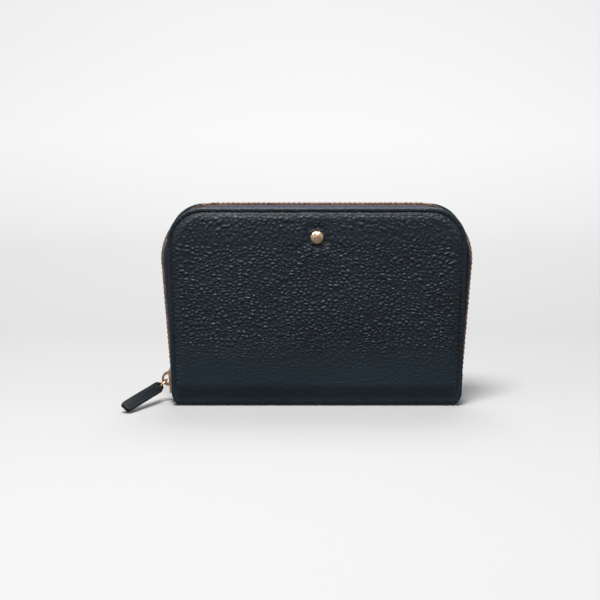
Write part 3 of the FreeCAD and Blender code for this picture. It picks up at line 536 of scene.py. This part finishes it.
def cover_leather(side):
    """One cover's outer leather, from its top edge down and under the spine to the middle."""
    salt = 0 if side == "front" else 40
    rows = cover_rows()
    widths, ys, zs, ny, nz, downs = (np.array(v) for v in zip(*rows))
    across = np.linspace(-1, 1, COLUMNS + 1)
    x = widths[:, None] * across[None, :]
    z = np.repeat(zs[:, None], COLUMNS + 1, 1)
    down = np.repeat(downs[:, None], COLUMNS + 1, 1)
    height, grain = padded_height(x, z, down, salt, side == "front")
    for place, along in seam_stitches():
        for end in (-1, 1):
            hole = place + along * end * HOLE_AWAY
            near = (x - hole[0]) ** 2 + (z - hole[2]) ** 2
            height -= HOLE_DEEP * np.exp(-near / HOLE_SPREAD)
            # Painted shade: the grain value is lowered round each stitch hole, which darkens the colour
            # there.
            grain -= HOLE_PAINTED_SHADE * np.exp(-near / HOLE_SPREAD)
        near = (x - place[0]) ** 2 + (z - place[2]) ** 2
        height -= PULL_DEEP * np.exp(-near)
    height = np.maximum(height, -EDGE_ROUND * SINK_LIMIT)
    under = zs < FLOOR_GAP + 0.3
    height[under] = np.clip(height[under], -UNDER_RELIEF, UNDER_RELIEF)
    y = ys[:, None] + ny[:, None] * height
    z = np.maximum(z + nz[:, None] * height, FLOOR_CLEARANCE)
    points = np.stack([x, y, z], -1)
    count, wide = points.shape[:2]
    faces = grid_faces(count, wide)

    border = ([(r, 0) for r in range(count - 1, 0, -1)] + [(0, c) for c in range(wide)]
              + [(r, wide - 1) for r in range(1, count)])
    shape = arch(**COVER)
    loops = [[r * wide + c for r, c in border]]
    extra, spots = [], []
    for r, c in border:
        spot = points[r, c]
        if spot[2] > shape["height"] and abs(spot[0]) > shape["middle"] - 1e-6:
            out = np.array([spot[0] - math.copysign(shape["middle"], spot[0]), 0,
                            spot[2] - shape["height"]])
            out /= np.linalg.norm(out)
        elif r == 0:
            out = np.array([0, 0, 1.0])
        else:
            out = np.array([math.copysign(1.0, spot[0]), 0, 0])
        base = np.array([spot[0], rows[r][1], rows[r][2]])
        normal = np.array([0, rows[r][3], rows[r][4]])
        thick = COVER_THICK if rows[r][2] > FOOT_ROUND else TURNED_THICK
        spots.append((base, out, normal, thick))
    profile = [(math.sin(t) * EDGE_ROUND, (1 - math.cos(t)) * EDGE_ROUND, False)
               for t in np.linspace(0.3, math.pi / 2, 5)]
    profile += [(EDGE_ROUND, None, 0.55), (EDGE_ROUND, None, 0.97), (EDGE_ROUND - 0.25, None, 1.0),
                (-1.2, None, 1.0), (-3.2, None, 1.0)]
    start = count * wide
    for outwards, inwards, share in profile:
        loop = []
        for base, out, normal, thick in spots:
            sink = inwards if inwards is not None else EDGE_ROUND + (thick - EDGE_ROUND) * share
            extra.append(base + out * outwards - normal * sink)
            loop.append(start)
            start += 1
        loops.append(loop)
    for one, other in zip(loops, loops[1:]):
        for k in range(len(one) - 1):
            faces.append((one[k], other[k], other[k + 1], one[k + 1]))
    everything = np.vstack([points.reshape(-1, 3), np.array(extra)])
    everything[:, 2] = np.maximum(everything[:, 2], FLOOR_CLEARANCE)
    piece = new_mesh(f"{side}_cover_leather", turned(everything, side), faces, NAVY)
    # The grain attribute carries the pebble pattern into the colour as painted shade in the creases and the
    # stitch holes, fading to an even light value near the foot.
    attribute = piece.data.attributes.new("grain", "FLOAT", "POINT")
    smooth = 1 - smooth_step(z, *DULL_FOOT_FROM)
    grain = grain * (1 - smooth) + DULL_FOOT_GRAIN * smooth
    tones = np.concatenate([grain.ravel(), np.full(len(extra), EDGE_GRAIN)])
    attribute.data.foreach_set("value", np.clip(tones, 0, 1).astype(np.float32))
    flip_to(piece, Vector((0, -1, 0)) if side == "front" else Vector((0, 1, 0)),
            FACING_ROW * wide + FACING_COLUMN)
    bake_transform(piece)
    return piece


def flip_to(piece, way, vertex):
    """Turns the faces over if the one at a vertex doesn't face the way it should."""
    near = [p for p in piece.data.polygons if vertex in p.vertices]
    if near and near[0].normal.dot(way) < 0:
        piece.data.flip_normals()


# ---- sheets, threads and tapes ----------------------------------------------------------------------

SHEET_ROWS, SHEET_COLUMNS = 60, 61
WAVE_WIDE, WAVE_TALL = 16, 12


def sheet_in_arch(name, side, shape, foot, depths, material, round_by=0.25, wave=0.0):
    """A thin panel that fills an arch above its foot, between two depths, with rounded edges."""
    heights = np.linspace(foot + round_by, shape["top"] - round_by, SHEET_ROWS)
    across = np.sin(np.linspace(-math.pi / 2, math.pi / 2, SHEET_COLUMNS))
    inner = half_width(shape, heights) - round_by
    rise = heights - shape["height"]
    limit = shape["middle"] + np.sqrt(np.maximum((shape["corner"] - round_by) ** 2
                                                 - np.clip(rise, 0, None) ** 2, 0))
    inner = np.where(rise > 0, np.minimum(inner, limit), inner)
    x = inner[:, None] * across[None, :]
    z = np.repeat(heights[:, None], len(across), 1)
    puff = drift(x, z, wave, WAVE_WIDE, WAVE_TALL, len(name))
    points = [np.stack([x, np.full_like(x, depth) + puff, z], -1).reshape(-1, 3) for depth in depths]
    wide, tall = len(across), len(heights)
    size = wide * tall
    faces = grid_faces(tall, wide) + grid_faces(tall, wide, size, flip=True)
    rim = ([(0, c) for c in range(wide)] + [(r, wide - 1) for r in range(1, tall)]
           + [(tall - 1, c) for c in range(wide - 2, -1, -1)] + [(r, 0) for r in range(tall - 2, 0, -1)])
    loops = [[r * wide + c for r, c in rim]]
    start = 2 * size
    for share in (0.25, 0.75):
        loop = []
        for k, (r, c) in enumerate(rim):
            before = np.array([x[rim[k - 1]], z[rim[k - 1]]])
            after = np.array([x[rim[(k + 1) % len(rim)]], z[rim[(k + 1) % len(rim)]]])
            along = after - before
            out = np.array([along[1], -along[0]]) / max(np.linalg.norm(along), 1e-9)
            depth = depths[0] + (depths[1] - depths[0]) * share
            points.append(np.array([[x[r, c] + out[0] * round_by, depth + puff[r, c],
                                     z[r, c] + out[1] * round_by]]))
            loop.append(start)
            start += 1
        loops.append(loop)
    loops.append([size + r * wide + c for r, c in rim])
    for one, other in zip(loops, loops[1:]):
        for k in range(len(rim)):
            after = (k + 1) % len(rim)
            faces.append((one[after], one[k], other[k], other[after]))
    return face_outwards(new_mesh(name, turned(np.vstack(points), side), faces, material))


def swept(name, side, stations, outline, material, lift=None):
    """A closed profile of (out, y) points carried along stations; its ends are capped."""
    points = []
    for k, (place, _, out) in enumerate(stations):
        for o, y in outline:
            extra = lift(k, o, y) if lift else 0.0
            points.append(place + out * (o + extra) + np.array([0, y, 0]))
    wide = len(outline)
    faces = grid_faces(len(stations), wide, closed=True)
    faces += [tuple(range(wide)), tuple(range(len(points) - wide, len(points)))[::-1]]
    piece = new_mesh(name, turned(np.array(points), side), faces, material)
    return face_outwards(piece)


CAP_REACH = 0.8


def rounded_stroke(points, radius):
    """A closed outline of a line with a width and round ends, from points (u, v)."""
    points = [np.array(p, float) for p in points]
    left, right = [], []
    for k, point in enumerate(points):
        way = points[min(k + 1, len(points) - 1)] - points[max(k - 1, 0)]
        way /= np.linalg.norm(way)
        normal = np.array([-way[1], way[0]])
        left.append(point + normal * radius)
        right.append(point - normal * radius)
    end = (points[-1] - points[-2]) / np.linalg.norm(points[-1] - points[-2])
    begin = (points[0] - points[1]) / np.linalg.norm(points[0] - points[1])
    return (left + [points[-1] + radius * end * CAP_REACH] + right[::-1]
            + [points[0] + radius * begin * CAP_REACH])


TAPE_STEP, TAPE_FEET, TAPE_FOOT_GAP, TAPE_SKIN = 1.2, (2.6, 9.0), 0.05, 0.02
TAPE_PATH = [(0.0, -1.85), (0.02, -2.6), (-0.05, -4.0), (-0.15, -5.4), (-0.3, -6.4), (-0.75, -7.1),
             (-1.6, -7.3), (-4.0, -7.3), (-6.6, -7.3)]
RIPPLE_DEEP, RIPPLE_RATE = 0.05, 0.9
CORD_PLACE, CORD_RADII = (0.02, -2.2), (0.42, 0.5)


def zip_tape(side):
    """The tape of one zip row, turned inwards at its outer edge to be sewn behind the cover."""
    shape = arch(ZIP_FOOT_HALF, ZIP_LEAN, ZIP_CORNER, ZIP_TOP)
    left, right = TAPE_FEET if side == "front" else TAPE_FEET[::-1]
    stations = arch_stations(shape, left + TAPE_FOOT_GAP, right + TAPE_FOOT_GAP, TAPE_STEP)
    outline = rounded_stroke(TAPE_PATH, TAPE_THICK / 2 - TAPE_SKIN)
    phase = 3 if side == "front" else 9

    def ripple(k, out, y):
        along = k * TAPE_STEP
        return RIPPLE_DEEP * math.sin(along * RIPPLE_RATE + phase) * smooth_step(-y, 2.4, 4.0) * (out > -0.8)

    piece = swept(f"{side}_zip_tape_cloth", side, stations, outline, TAPE, lift=ripple)
    bead = [(CORD_PLACE[0] + CORD_RADII[0] * math.cos(t), CORD_PLACE[1] + CORD_RADII[1] * math.sin(t))
            for t in np.linspace(0, 2 * math.pi, 9)[:-1]]
    edge = swept(f"{side}_zip_tape_cord", side, stations, bead, TAPE)
    for part in (piece, edge):
        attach(part, f"{side}_cover")
    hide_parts(f"{side}_zip_tape")


THREAD_SIDES, THREAD_TWIST = 8, 0.10
THREAD_RINGS = [(-1.0, 0.05), (-0.96, 0.55), (-0.82, 0.88), (-0.4, 1.0), (0.4, 1.0), (0.82, 0.88),
                (0.96, 0.55), (1.0, 0.05)]


def capsules(name, ends, radius, flat):
    """Short round-ended lengths of thread from pairs of ends and the way each faces."""
    points, faces = [], []
    for start, finish, face in ends:
        start, finish, face = (np.array(v, float) for v in (start, finish, face))
        middle, half = (start + finish) / 2, (finish - start) / 2
        way = half / np.linalg.norm(half)
        aside = np.cross(way, face)
        aside /= np.linalg.norm(aside)
        face = np.cross(aside, way)
        base = len(points)
        for k, (place, wide) in enumerate(THREAD_RINGS):
            for a in range(THREAD_SIDES):
                turn = 2 * math.pi * a / THREAD_SIDES
                twist = 1 + THREAD_TWIST * math.cos(2 * turn + k * 1.3)
                points.append(middle + half * place + (aside * math.cos(turn) + face * math.sin(turn) * flat)
                              * radius * wide * twist)
        faces += grid_faces(len(THREAD_RINGS), THREAD_SIDES, base, closed=True)
        last = base + (len(THREAD_RINGS) - 1) * THREAD_SIDES
        faces += [tuple(range(base, base + THREAD_SIDES))[::-1], tuple(range(last, last + THREAD_SIDES))]
    return face_outwards(new_mesh(name, np.array(points), faces, THREAD))


SEAM_HALF, SEAM_LIFT, SEAM_RADIUS, SEAM_FLAT = 1.15, 0.62, 0.27, 0.75


def edge_thread(side):
    """The seam round the cover, sunk into the leather beside the groove."""
    ends = []
    depth = np.array([[0, -HALF_DEPTH - SEAM_LIFT, 0]])
    for place, along in seam_stitches():
        pair = turned(np.array([place - along * SEAM_HALF, place + along * SEAM_HALF]) + depth, side)
        ends.append((pair[0], pair[1], turned(np.array([[0.0, -1.0, 0.0]]), side)[0]))
    piece = capsules(f"{side}_seam_thread", ends, SEAM_RADIUS, SEAM_FLAT)
    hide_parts(f"{side}_edge_stitches")
    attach(piece, f"{side}_cover")


# ---- inside: linings, card pockets and the coin pocket ----------------------------------------------

THIN_ROUND, PLY_GAP, CARD_WAVE = 0.22, 0.02, 0.10
LINING_INSET, LINING_CORNER, PANEL_CORNER, SLOT_CORNER = 2.0, 22.0, 12.0, 3.0
POCKET_SEAM_X, POCKET_SEAM_FOOT, POCKET_STITCH, POCKET_PITCH, STITCH_SPARE = 47.0, 0.6, 2.2, 3.4, 0.1
PANEL_FACE, SLOT_THICK, THREAD_LIFT = 6.1, 0.5, 0.05
POCKET_THREAD_RADIUS, POCKET_THREAD_FLAT = 0.22, 0.7


def depth_range(node):
    """How far a node's far and near faces are from the middle plane."""
    low, high = node_box(node)
    near, far = sorted((abs(low[1]), abs(high[1])))
    return far, near


def inside_pieces(side):
    """The lining and the card pockets of one cover."""
    made = []
    lining_shape = arch(inset=LINING_INSET, **COVER)
    lining_shape = arch(lining_shape["foot_half"], COVER_LEAN, LINING_CORNER, lining_shape["top"])
    far, near = depth_range(f"{side}_lining")
    made.append((sheet_in_arch(f"{side}_lining_leather", side, lining_shape, node_box(f"{side}_lining")[0][2],
                               (-far, -near), LINING_LEATHER, THIN_ROUND),
                 f"{side}_lining", "lining_leather"))
    panels = [f"{side}_card_panel"] + [f"{side}_card_slot_{k}" for k in (1, 2, 3, 4)]
    for k, node in enumerate(panels):
        low, high = node_box(node)
        far, near = depth_range(node)
        shape = arch(high[0] + 0.001, 0.0, SLOT_CORNER if k else PANEL_CORNER, high[2])
        made.append((sheet_in_arch(f"{node}_leather", side, shape, low[2], (-far + PLY_GAP, -near - PLY_GAP),
                                   CARD_LEATHER, THIN_ROUND, CARD_WAVE), node, "card_leather"))
    for piece, node, finish in made:
        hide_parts(node)
        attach(piece, f"{side}_cover")
    ends = []
    tops = [node_box(node)[1][2] for node in panels[1:]]
    for x in (-POCKET_SEAM_X, POCKET_SEAM_X):
        z = node_box(f"{side}_slot_stitches")[0][2] + POCKET_SEAM_FOOT
        while z + POCKET_STITCH < tops[0]:
            layers = sum(top > z + POCKET_STITCH + STITCH_SPARE for top in tops)
            y = -(PANEL_FACE - SLOT_THICK * layers) + THREAD_LIFT
            ends.append(tuple(turned(np.array([[x, y, z], [x, y, z + POCKET_STITCH], [0, 1, 0]]), side)))
            z += POCKET_PITCH
    piece = capsules(f"{side}_pocket_thread", ends, POCKET_THREAD_RADIUS, POCKET_THREAD_FLAT)
    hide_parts(f"{side}_slot_stitches")
    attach(piece, f"{side}_cover")


COIN_CORNER = 2.0


def coin_walls():
    """The coin pocket's two walls."""
    for side in ("front", "back"):
        low, high = node_box(f"coin_wall_{side}")
        far, near = depth_range(f"coin_wall_{side}")
        shape = arch(high[0], 0.0, COIN_CORNER, high[2])
        piece = sheet_in_arch(f"coin_wall_{side}_leather", side, shape, low[2], (-far, -near), LINING_LEATHER)
        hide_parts(f"coin_wall_{side}")
        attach(piece, "spine")


def dressed(node, material, bevel=0.0, segments=2):
    """A CAD node keeps its mesh and takes a finish, and soft edges where there is room for them."""
    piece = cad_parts[node]
    piece.data.materials.clear()
    piece.data.materials.append(material)
    if bevel:
        edge = piece.modifiers.new("soft_edges", "BEVEL")
        edge.width = bevel * MM
        edge.segments = segments
        edge.limit_method = "ANGLE"
        edge.angle_limit = math.radians(35)


def level_stations(low, high, gap, count):
    """Stations along X through the middle height of a box, facing up."""
    return [(np.array([x, 0, (low[2] + high[2]) / 2]), None, np.array([0, 0, 1.0]))
            for x in np.linspace(low[0] + gap, high[0] - gap, count)]


SPINE_GAP, SPINE_RADIUS, SPINE_STATIONS, SPINE_WAVE = 0.2, 0.19, 120, 0.03


def spine_lining():
    """The lining strip along the inside of the spine."""
    low, high = node_box("spine_lining")
    half = high[1] - SPINE_GAP
    across = [(SPINE_WAVE * math.sin(5 * t), t * half) for t in np.linspace(-1, 1, 15)]
    piece = swept("spine_lining_leather", "front", level_stations(low, high, SPINE_GAP, SPINE_STATIONS),
                  rounded_stroke(across, SPINE_RADIUS), LINING_LEATHER)
    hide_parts("spine_lining")
    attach(piece, "spine")


GUSSET_GAP, GUSSET_TURN, GUSSET_FOLD, GUSSET_RADIUS = 0.3, 2.5, 1.3, 0.22
GUSSET_SIDE_STATIONS, GUSSET_FOOT_STATIONS, GUSSET_TURN_STATIONS = 60, 90, 8


def coin_gusset():
    """The strip that joins the coin pocket's walls down its sides and along its foot, folded inwards."""
    low, high = node_box("coin_gusset")
    half, foot, top, turn = high[0] - GUSSET_GAP, low[2] + GUSSET_GAP, high[2] - GUSSET_GAP, GUSSET_TURN
    corner = [(t, half - turn + turn * math.cos(t), foot + turn - turn * math.sin(t))
              for t in np.linspace(0.2, math.pi / 2, GUSSET_TURN_STATIONS)]
    path = [(-half, z, -1, 0) for z in np.linspace(top, foot + turn, GUSSET_SIDE_STATIONS)]
    path += [(-x, z, -math.cos(t), -math.sin(t)) for t, x, z in corner]
    path += [(x, foot, 0, -1) for x in np.linspace(-half + turn, half - turn, GUSSET_FOOT_STATIONS)[1:-1]]
    path += [(x, z, math.cos(t), -math.sin(t)) for t, x, z in reversed(corner)]
    path += [(half, z, 1, 0) for z in np.linspace(foot + turn, top, GUSSET_SIDE_STATIONS)]
    stations = [(np.array([x, 0, z]), None, np.array([u, 0, v])) for x, z, u, v in path]
    reach = high[1] - GUSSET_GAP
    across = [(-GUSSET_FOLD * math.cos(math.pi / 2 * t) ** 2, t * reach) for t in np.linspace(-1, 1, 13)]
    piece = swept("coin_gusset_leather", "front", stations, rounded_stroke(across, GUSSET_RADIUS),
                  LINING_LEATHER)
    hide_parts("coin_gusset")
    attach(piece, "spine")


COIN_TAPE_GAP, COIN_TAPE_EDGE, COIN_TAPE_RADIUS, COIN_TAPE_STATIONS = 0.1, 0.25, 0.27, 110


def coin_tape(side):
    """One tape of the coin pocket's zip, lying flat on the top of its wall."""
    low, high = node_box(f"coin_tape_{side}")
    far, near = depth_range(f"coin_tape_{side}")
    across = [(0.0, -y) for y in np.linspace(near + COIN_TAPE_EDGE, far - COIN_TAPE_EDGE, 7)]
    piece = swept(f"coin_tape_{side}_cloth", side,
                  level_stations(low, high, COIN_TAPE_GAP, COIN_TAPE_STATIONS),
                  rounded_stroke(across, COIN_TAPE_RADIUS), TAPE)
    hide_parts(f"coin_tape_{side}")
    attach(piece, "spine")


# ---- puller tab -------------------------------------------------------------------------------------

TAB_LENGTH, TAB_HALF, TAB_PLY, TAB_MARGIN = 29.0, 2.6, 0.98, 2.0
TAB_HOLE = np.array([-71.341, -2.294, 7.171])
TAB_YAW = math.radians(60)
ROLL_AT_RING, ROLL_AT_TIP = math.radians(60), math.radians(38)
TAB_TIP_GAP, TAB_FLOOR_GAP, TAB_BOW = 0.15, 0.08, 0.3
NECK_HALF, NECK_FROM, TIP_ROUND, NOSE_ROUND = 1.6, (0.3, 3.2), 1.8, 1.2
PLY_INNER, PLY_SOFT, PLY_STEPS = 0.02, 0.38, (2, 27)
EDGE_FALL, TAB_GRAIN, TAB_GRAIN_SCALE = 0.25, 0.05, 1.5
SEAM_AWAY, SEAM_DEEP, SEAM_SPREAD, SEAM_ENDS = 0.95, 0.10, 0.25, (3, 27.6)
BORE_RADIUS, BORE_DEPTH, BORE_SIDES = 1.25, 6, 32
TAB_STITCH, TAB_STITCH_PITCH, TAB_STITCH_START, TAB_STITCH_END = 1.9, 2.7, 4.0, 1.6
TAB_THREAD_RADIUS, TAB_THREAD_FLAT = 0.19, 0.7


def tab_frame(u):
    """The tab's middle, and its ways across and out of its face, a distance from its ring end."""
    level = np.array([-math.cos(TAB_YAW), -math.sin(TAB_YAW), 0])
    lowest = TAB_HALF * math.sin(ROLL_AT_TIP) + TAB_PLY * math.cos(ROLL_AT_TIP) + TAB_TIP_GAP
    fall = math.asin((TAB_HOLE[2] - lowest) / (TAB_LENGTH - TAB_MARGIN))
    run = level * math.cos(fall) - np.array([0, 0, math.sin(fall)])
    aside = np.cross(level, [0, 0, 1])
    flat = np.cross(aside, run)
    along = (u - TAB_MARGIN) / (TAB_LENGTH - TAB_MARGIN)
    share = float(smooth_step(along, 0.1, 1.0))
    roll = ROLL_AT_RING + (ROLL_AT_TIP - ROLL_AT_RING) * share
    face = flat * math.cos(roll) - aside * math.sin(roll)
    bow = TAB_BOW * math.sin(math.pi * np.clip(along, 0, 1))
    return TAB_HOLE + run * (u - TAB_MARGIN) + face * bow, np.cross(face, run), face


def tab_half(u):
    """Half the tab's width: a narrow neck at the ring, a shoulder and a rounded tip."""
    neck = NECK_HALF + (TAB_HALF - NECK_HALF) * smooth_step(u, *NECK_FROM)
    tip = math.sqrt(max(1 - (max(u - (TAB_LENGTH - TIP_ROUND), 0) / TIP_ROUND) ** 2, 0.0))
    nose = math.sqrt(max(1 - (max(NOSE_ROUND - u, 0) / NOSE_ROUND) ** 2, 0.0))
    return float(neck) * (0.62 + 0.38 * tip) * (0.55 + 0.45 * nose)


def tab_ply(name, way, node):
    """One leather ply of the tab, with rounded outer edges and a hole for the ring."""
    points, rows = [], np.concatenate([np.linspace(0, PLY_STEPS[0], 9)[:-1], np.linspace(*PLY_STEPS, 64),
                                       np.linspace(PLY_STEPS[1], TAB_LENGTH, 10)[1:]])
    outer, soft = TAB_PLY, PLY_SOFT
    for u in rows:
        middle, across, face = tab_frame(u)
        half = tab_half(u)
        ends = 0.5 * (math.exp(-u / EDGE_FALL) + math.exp(-(TAB_LENGTH - u) / EDGE_FALL))
        outline = [(-half, PLY_INNER), (-half, outer - soft)]
        outline += [(-half + soft * (1 - math.cos(t)), outer - soft + soft * math.sin(t))
                    for t in np.linspace(0.35, math.pi / 2, 4)]
        outline += [(v, outer) for v in np.linspace(-half + soft, half - soft, 14)[1:-1]]
        outline += [(-v, w) for v, w in reversed(outline[:6])]
        for v, w in outline:
            on_face = w > 0.9
            pebble = pebbles(np.array([u * TAB_GRAIN_SCALE]), np.array([v * TAB_GRAIN_SCALE]), 7)[0]
            grain = TAB_GRAIN * (float(pebble) - 0.6) * on_face
            seam = SEAM_DEEP * math.exp(-((abs(v) - half + SEAM_AWAY) / SEAM_SPREAD) ** 2) * on_face
            seam *= SEAM_ENDS[0] < u < SEAM_ENDS[1]
            rise = (w + grain - seam - ends * soft * (w > 0.5)) * way
            points.append(middle + across * v + face * rise)
    wide = len(outline)
    points = np.array(points)
    points[:, 2] = np.maximum(points[:, 2], TAB_FLOOR_GAP)
    faces = grid_faces(len(rows), wide, closed=True)
    faces += [tuple(range(wide)), tuple(range(len(points) - wide, len(points)))[::-1]]
    piece = face_outwards(new_mesh(name, points, faces, TAB_LEATHER))
    middle, _, face = tab_frame(TAB_MARGIN)
    bpy.ops.mesh.primitive_cylinder_add(vertices=BORE_SIDES, radius=BORE_RADIUS * MM, depth=BORE_DEPTH * MM,
                                        location=Vector(middle * MM))
    cutter = bpy.context.object
    cutter.rotation_mode = "QUATERNION"
    cutter.rotation_quaternion = Vector(face).to_track_quat("Z", "Y")
    bore = piece.modifiers.new("bore", "BOOLEAN")
    bore.operation, bore.solver, bore.object = "DIFFERENCE", "EXACT", cutter
    bpy.context.view_layer.update()
    cut = bpy.data.meshes.new_from_object(piece.evaluated_get(bpy.context.evaluated_depsgraph_get()))
    piece.modifiers.clear()
    piece.data = cut
    bpy.data.objects.remove(cutter)
    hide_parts(node)
    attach(piece, "pull_tab")


def tab_thread():
    """Two rows of stitches on each face of the tab."""
    ends = []
    for way in (1, -1):
        for edge in (-1, 1):
            u = TAB_STITCH_START
            while u + TAB_STITCH < TAB_LENGTH - TAB_STITCH_END:
                pair = []
                for place in (u, u + TAB_STITCH):
                    middle, across, face = tab_frame(place)
                    pair.append(middle + across * edge * (tab_half(place) - SEAM_AWAY)
                                + face * way * (TAB_PLY - PLY_INNER))
                ends.append((pair[0], pair[1], face * way))
                u += TAB_STITCH_PITCH
    piece = capsules("tab_thread", ends, TAB_THREAD_RADIUS, TAB_THREAD_FLAT)
    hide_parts("tab_stitches")
    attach(piece, "pull_tab")


# ---- everything put together ------------------------------------------------------------------------

covers = [cover_leather(side) for side in ("front", "back")]
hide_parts("front_leather", "spine_leather")
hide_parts("back_leather")
for side in ("front", "back"):
    zip_tape(side)
    edge_thread(side)
    inside_pieces(side)
    coin_tape(side)
coin_walls()
coin_gusset()
spine_lining()
tab_ply("tab_front_ply", 1, "tab_front_leather")
tab_ply("tab_back_ply", -1, "tab_back_leather")
tab_thread()

for side in ("front", "back"):
    dressed(f"{side}_board", BOARD)
    dressed(f"{side}_padding", FOAM)
    dressed(f"{side}_teeth", TEETH_METAL, 0.12)
    dressed(f"{side}_teeth_left", TEETH_METAL, 0.12)
    dressed(f"{side}_top_stop", TEETH_METAL, 0.12)
    dressed(f"coin_teeth_{side}", TEETH_METAL, 0.06)
dressed("spine_board", BOARD)
dressed("zip_bottom_stop", TEETH_METAL, 0.2)
dressed("slider_body", ROSE, 0.25, 3)
dressed("slider_bridge", ROSE, 0.3, 3)
dressed("pull_ring", ROSE)
dressed("stud_cap", ROSE_STUD, 0.12)
dressed("stud_washer", ROSE, 0.06)
dressed("coin_slider", ROSE, 0.15)
dressed("coin_slider_lug", ROSE, 0.12)
dressed("coin_puller", ROSE, 0.15)
dressed("coin_stops", TEETH_METAL, 0.06)


# ---- floor, light and camera ------------------------------------------------------------------------

FLOOR_GLOW, WALL_GLOW, GLOW_FROM = 0.0, 0.40, (0.18, 0.80)
SWEEP_FRONT, SWEEP_BEND, SWEEP_ROUND, SWEEP_TOP, SWEEP_HALF = -1.2, 0.55, 0.5, 2.2, 2.4
WORLD_LIGHT = 0.20
# Each light's name, place in metres, width in metres and power in watts
LIGHTS = (("above", (-0.12, -0.40, 0.95), 0.36, 13.0), ("behind", (0.05, 0.50, 0.90), 0.50, 4.6),
          ("left", (-0.95, -0.3, 0.35), 0.4, 1.2), ("right", (1.0, -0.3, 0.4), 0.4, 1.2))
LIGHTS_AIM = (0, 0, 0.045)
VIEW_TARGET, VIEW_RISE, VIEW_AWAY = (-7.5, -10.0, 48.2), 9.0, 0.79
SENSOR, LENS = 36.0, 106.6


def studio():
    """A seamless pale sweep, soft light from all round and a stronger soft light above."""
    profile = [(SWEEP_FRONT, 0.0), (SWEEP_BEND, 0.0)]
    profile += [(SWEEP_BEND + SWEEP_ROUND * math.sin(t), SWEEP_ROUND - SWEEP_ROUND * math.cos(t))
                for t in np.linspace(0.1, math.pi / 2, 16)]
    profile += [(SWEEP_BEND + SWEEP_ROUND, SWEEP_TOP)]
    points = [(x / MM, y / MM, z / MM) for y, z in profile for x in (-SWEEP_HALF, SWEEP_HALF)]
    pale = Surface("pale_sweep", (0.51, 0.51, 0.512), 0.9, Specular_IOR_Level=0.1)
    mottle = pale.noise(2, 2)
    depth = pale.add("ShaderNodeSeparateXYZ", {"Vector": pale.place}).outputs["Y"]
    glow = pale.span(depth, *GLOW_FROM, FLOOR_GLOW, WALL_GLOW)
    pale.shader.inputs["Emission Color"].default_value = (1, 1, 1, 1)
    pale.tree.links.new(glow, pale.shader.inputs["Emission Strength"])
    tone = pale.ramp(mottle, [(0.3, (0.505, 0.505, 0.507)), (0.7, (0.515, 0.515, 0.517))])
    sweep = new_mesh("sweep", np.array(points), grid_faces(len(profile), 2, flip=True), pale.finish(tone))
    sweep.visible_diffuse = sweep.visible_glossy = False
    world = bpy.data.worlds.new("studio")
    bpy.context.scene.world = world
    world.use_nodes = True
    background = world.node_tree.nodes["Background"].inputs
    background["Color"].default_value = (1, 1, 1, 1)
    background["Strength"].default_value = WORLD_LIGHT
    for name, place, size, power in LIGHTS:
        light = bpy.data.lights.new(name, "AREA")
        light.shape, light.size, light.energy = "SQUARE", size, power
        lamp = bpy.data.objects.new(name, light)
        bpy.context.collection.objects.link(lamp)
        lamp.location = place
        lamp.rotation_mode = "QUATERNION"
        lamp.rotation_quaternion = (Vector(place) - Vector(LIGHTS_AIM)).to_track_quat("Z", "Y")


def aim_camera():
    """A long lens a little above the holder, level with its middle."""
    target = Vector(VIEW_TARGET) * MM
    rise = math.radians(VIEW_RISE)
    data = bpy.data.cameras.new("view")
    data.sensor_width, data.lens = SENSOR, LENS
    camera = bpy.data.objects.new("view", data)
    bpy.context.collection.objects.link(camera)
    camera.location = target + Vector((0, -math.cos(rise), math.sin(rise))) * VIEW_AWAY
    camera.rotation_mode = "QUATERNION"
    camera.rotation_quaternion = (camera.location - target).to_track_quat("Z", "Y")
    bpy.context.scene.camera = camera


studio()
aim_camera()
bpy.context.scene.view_settings.view_transform = "Standard"
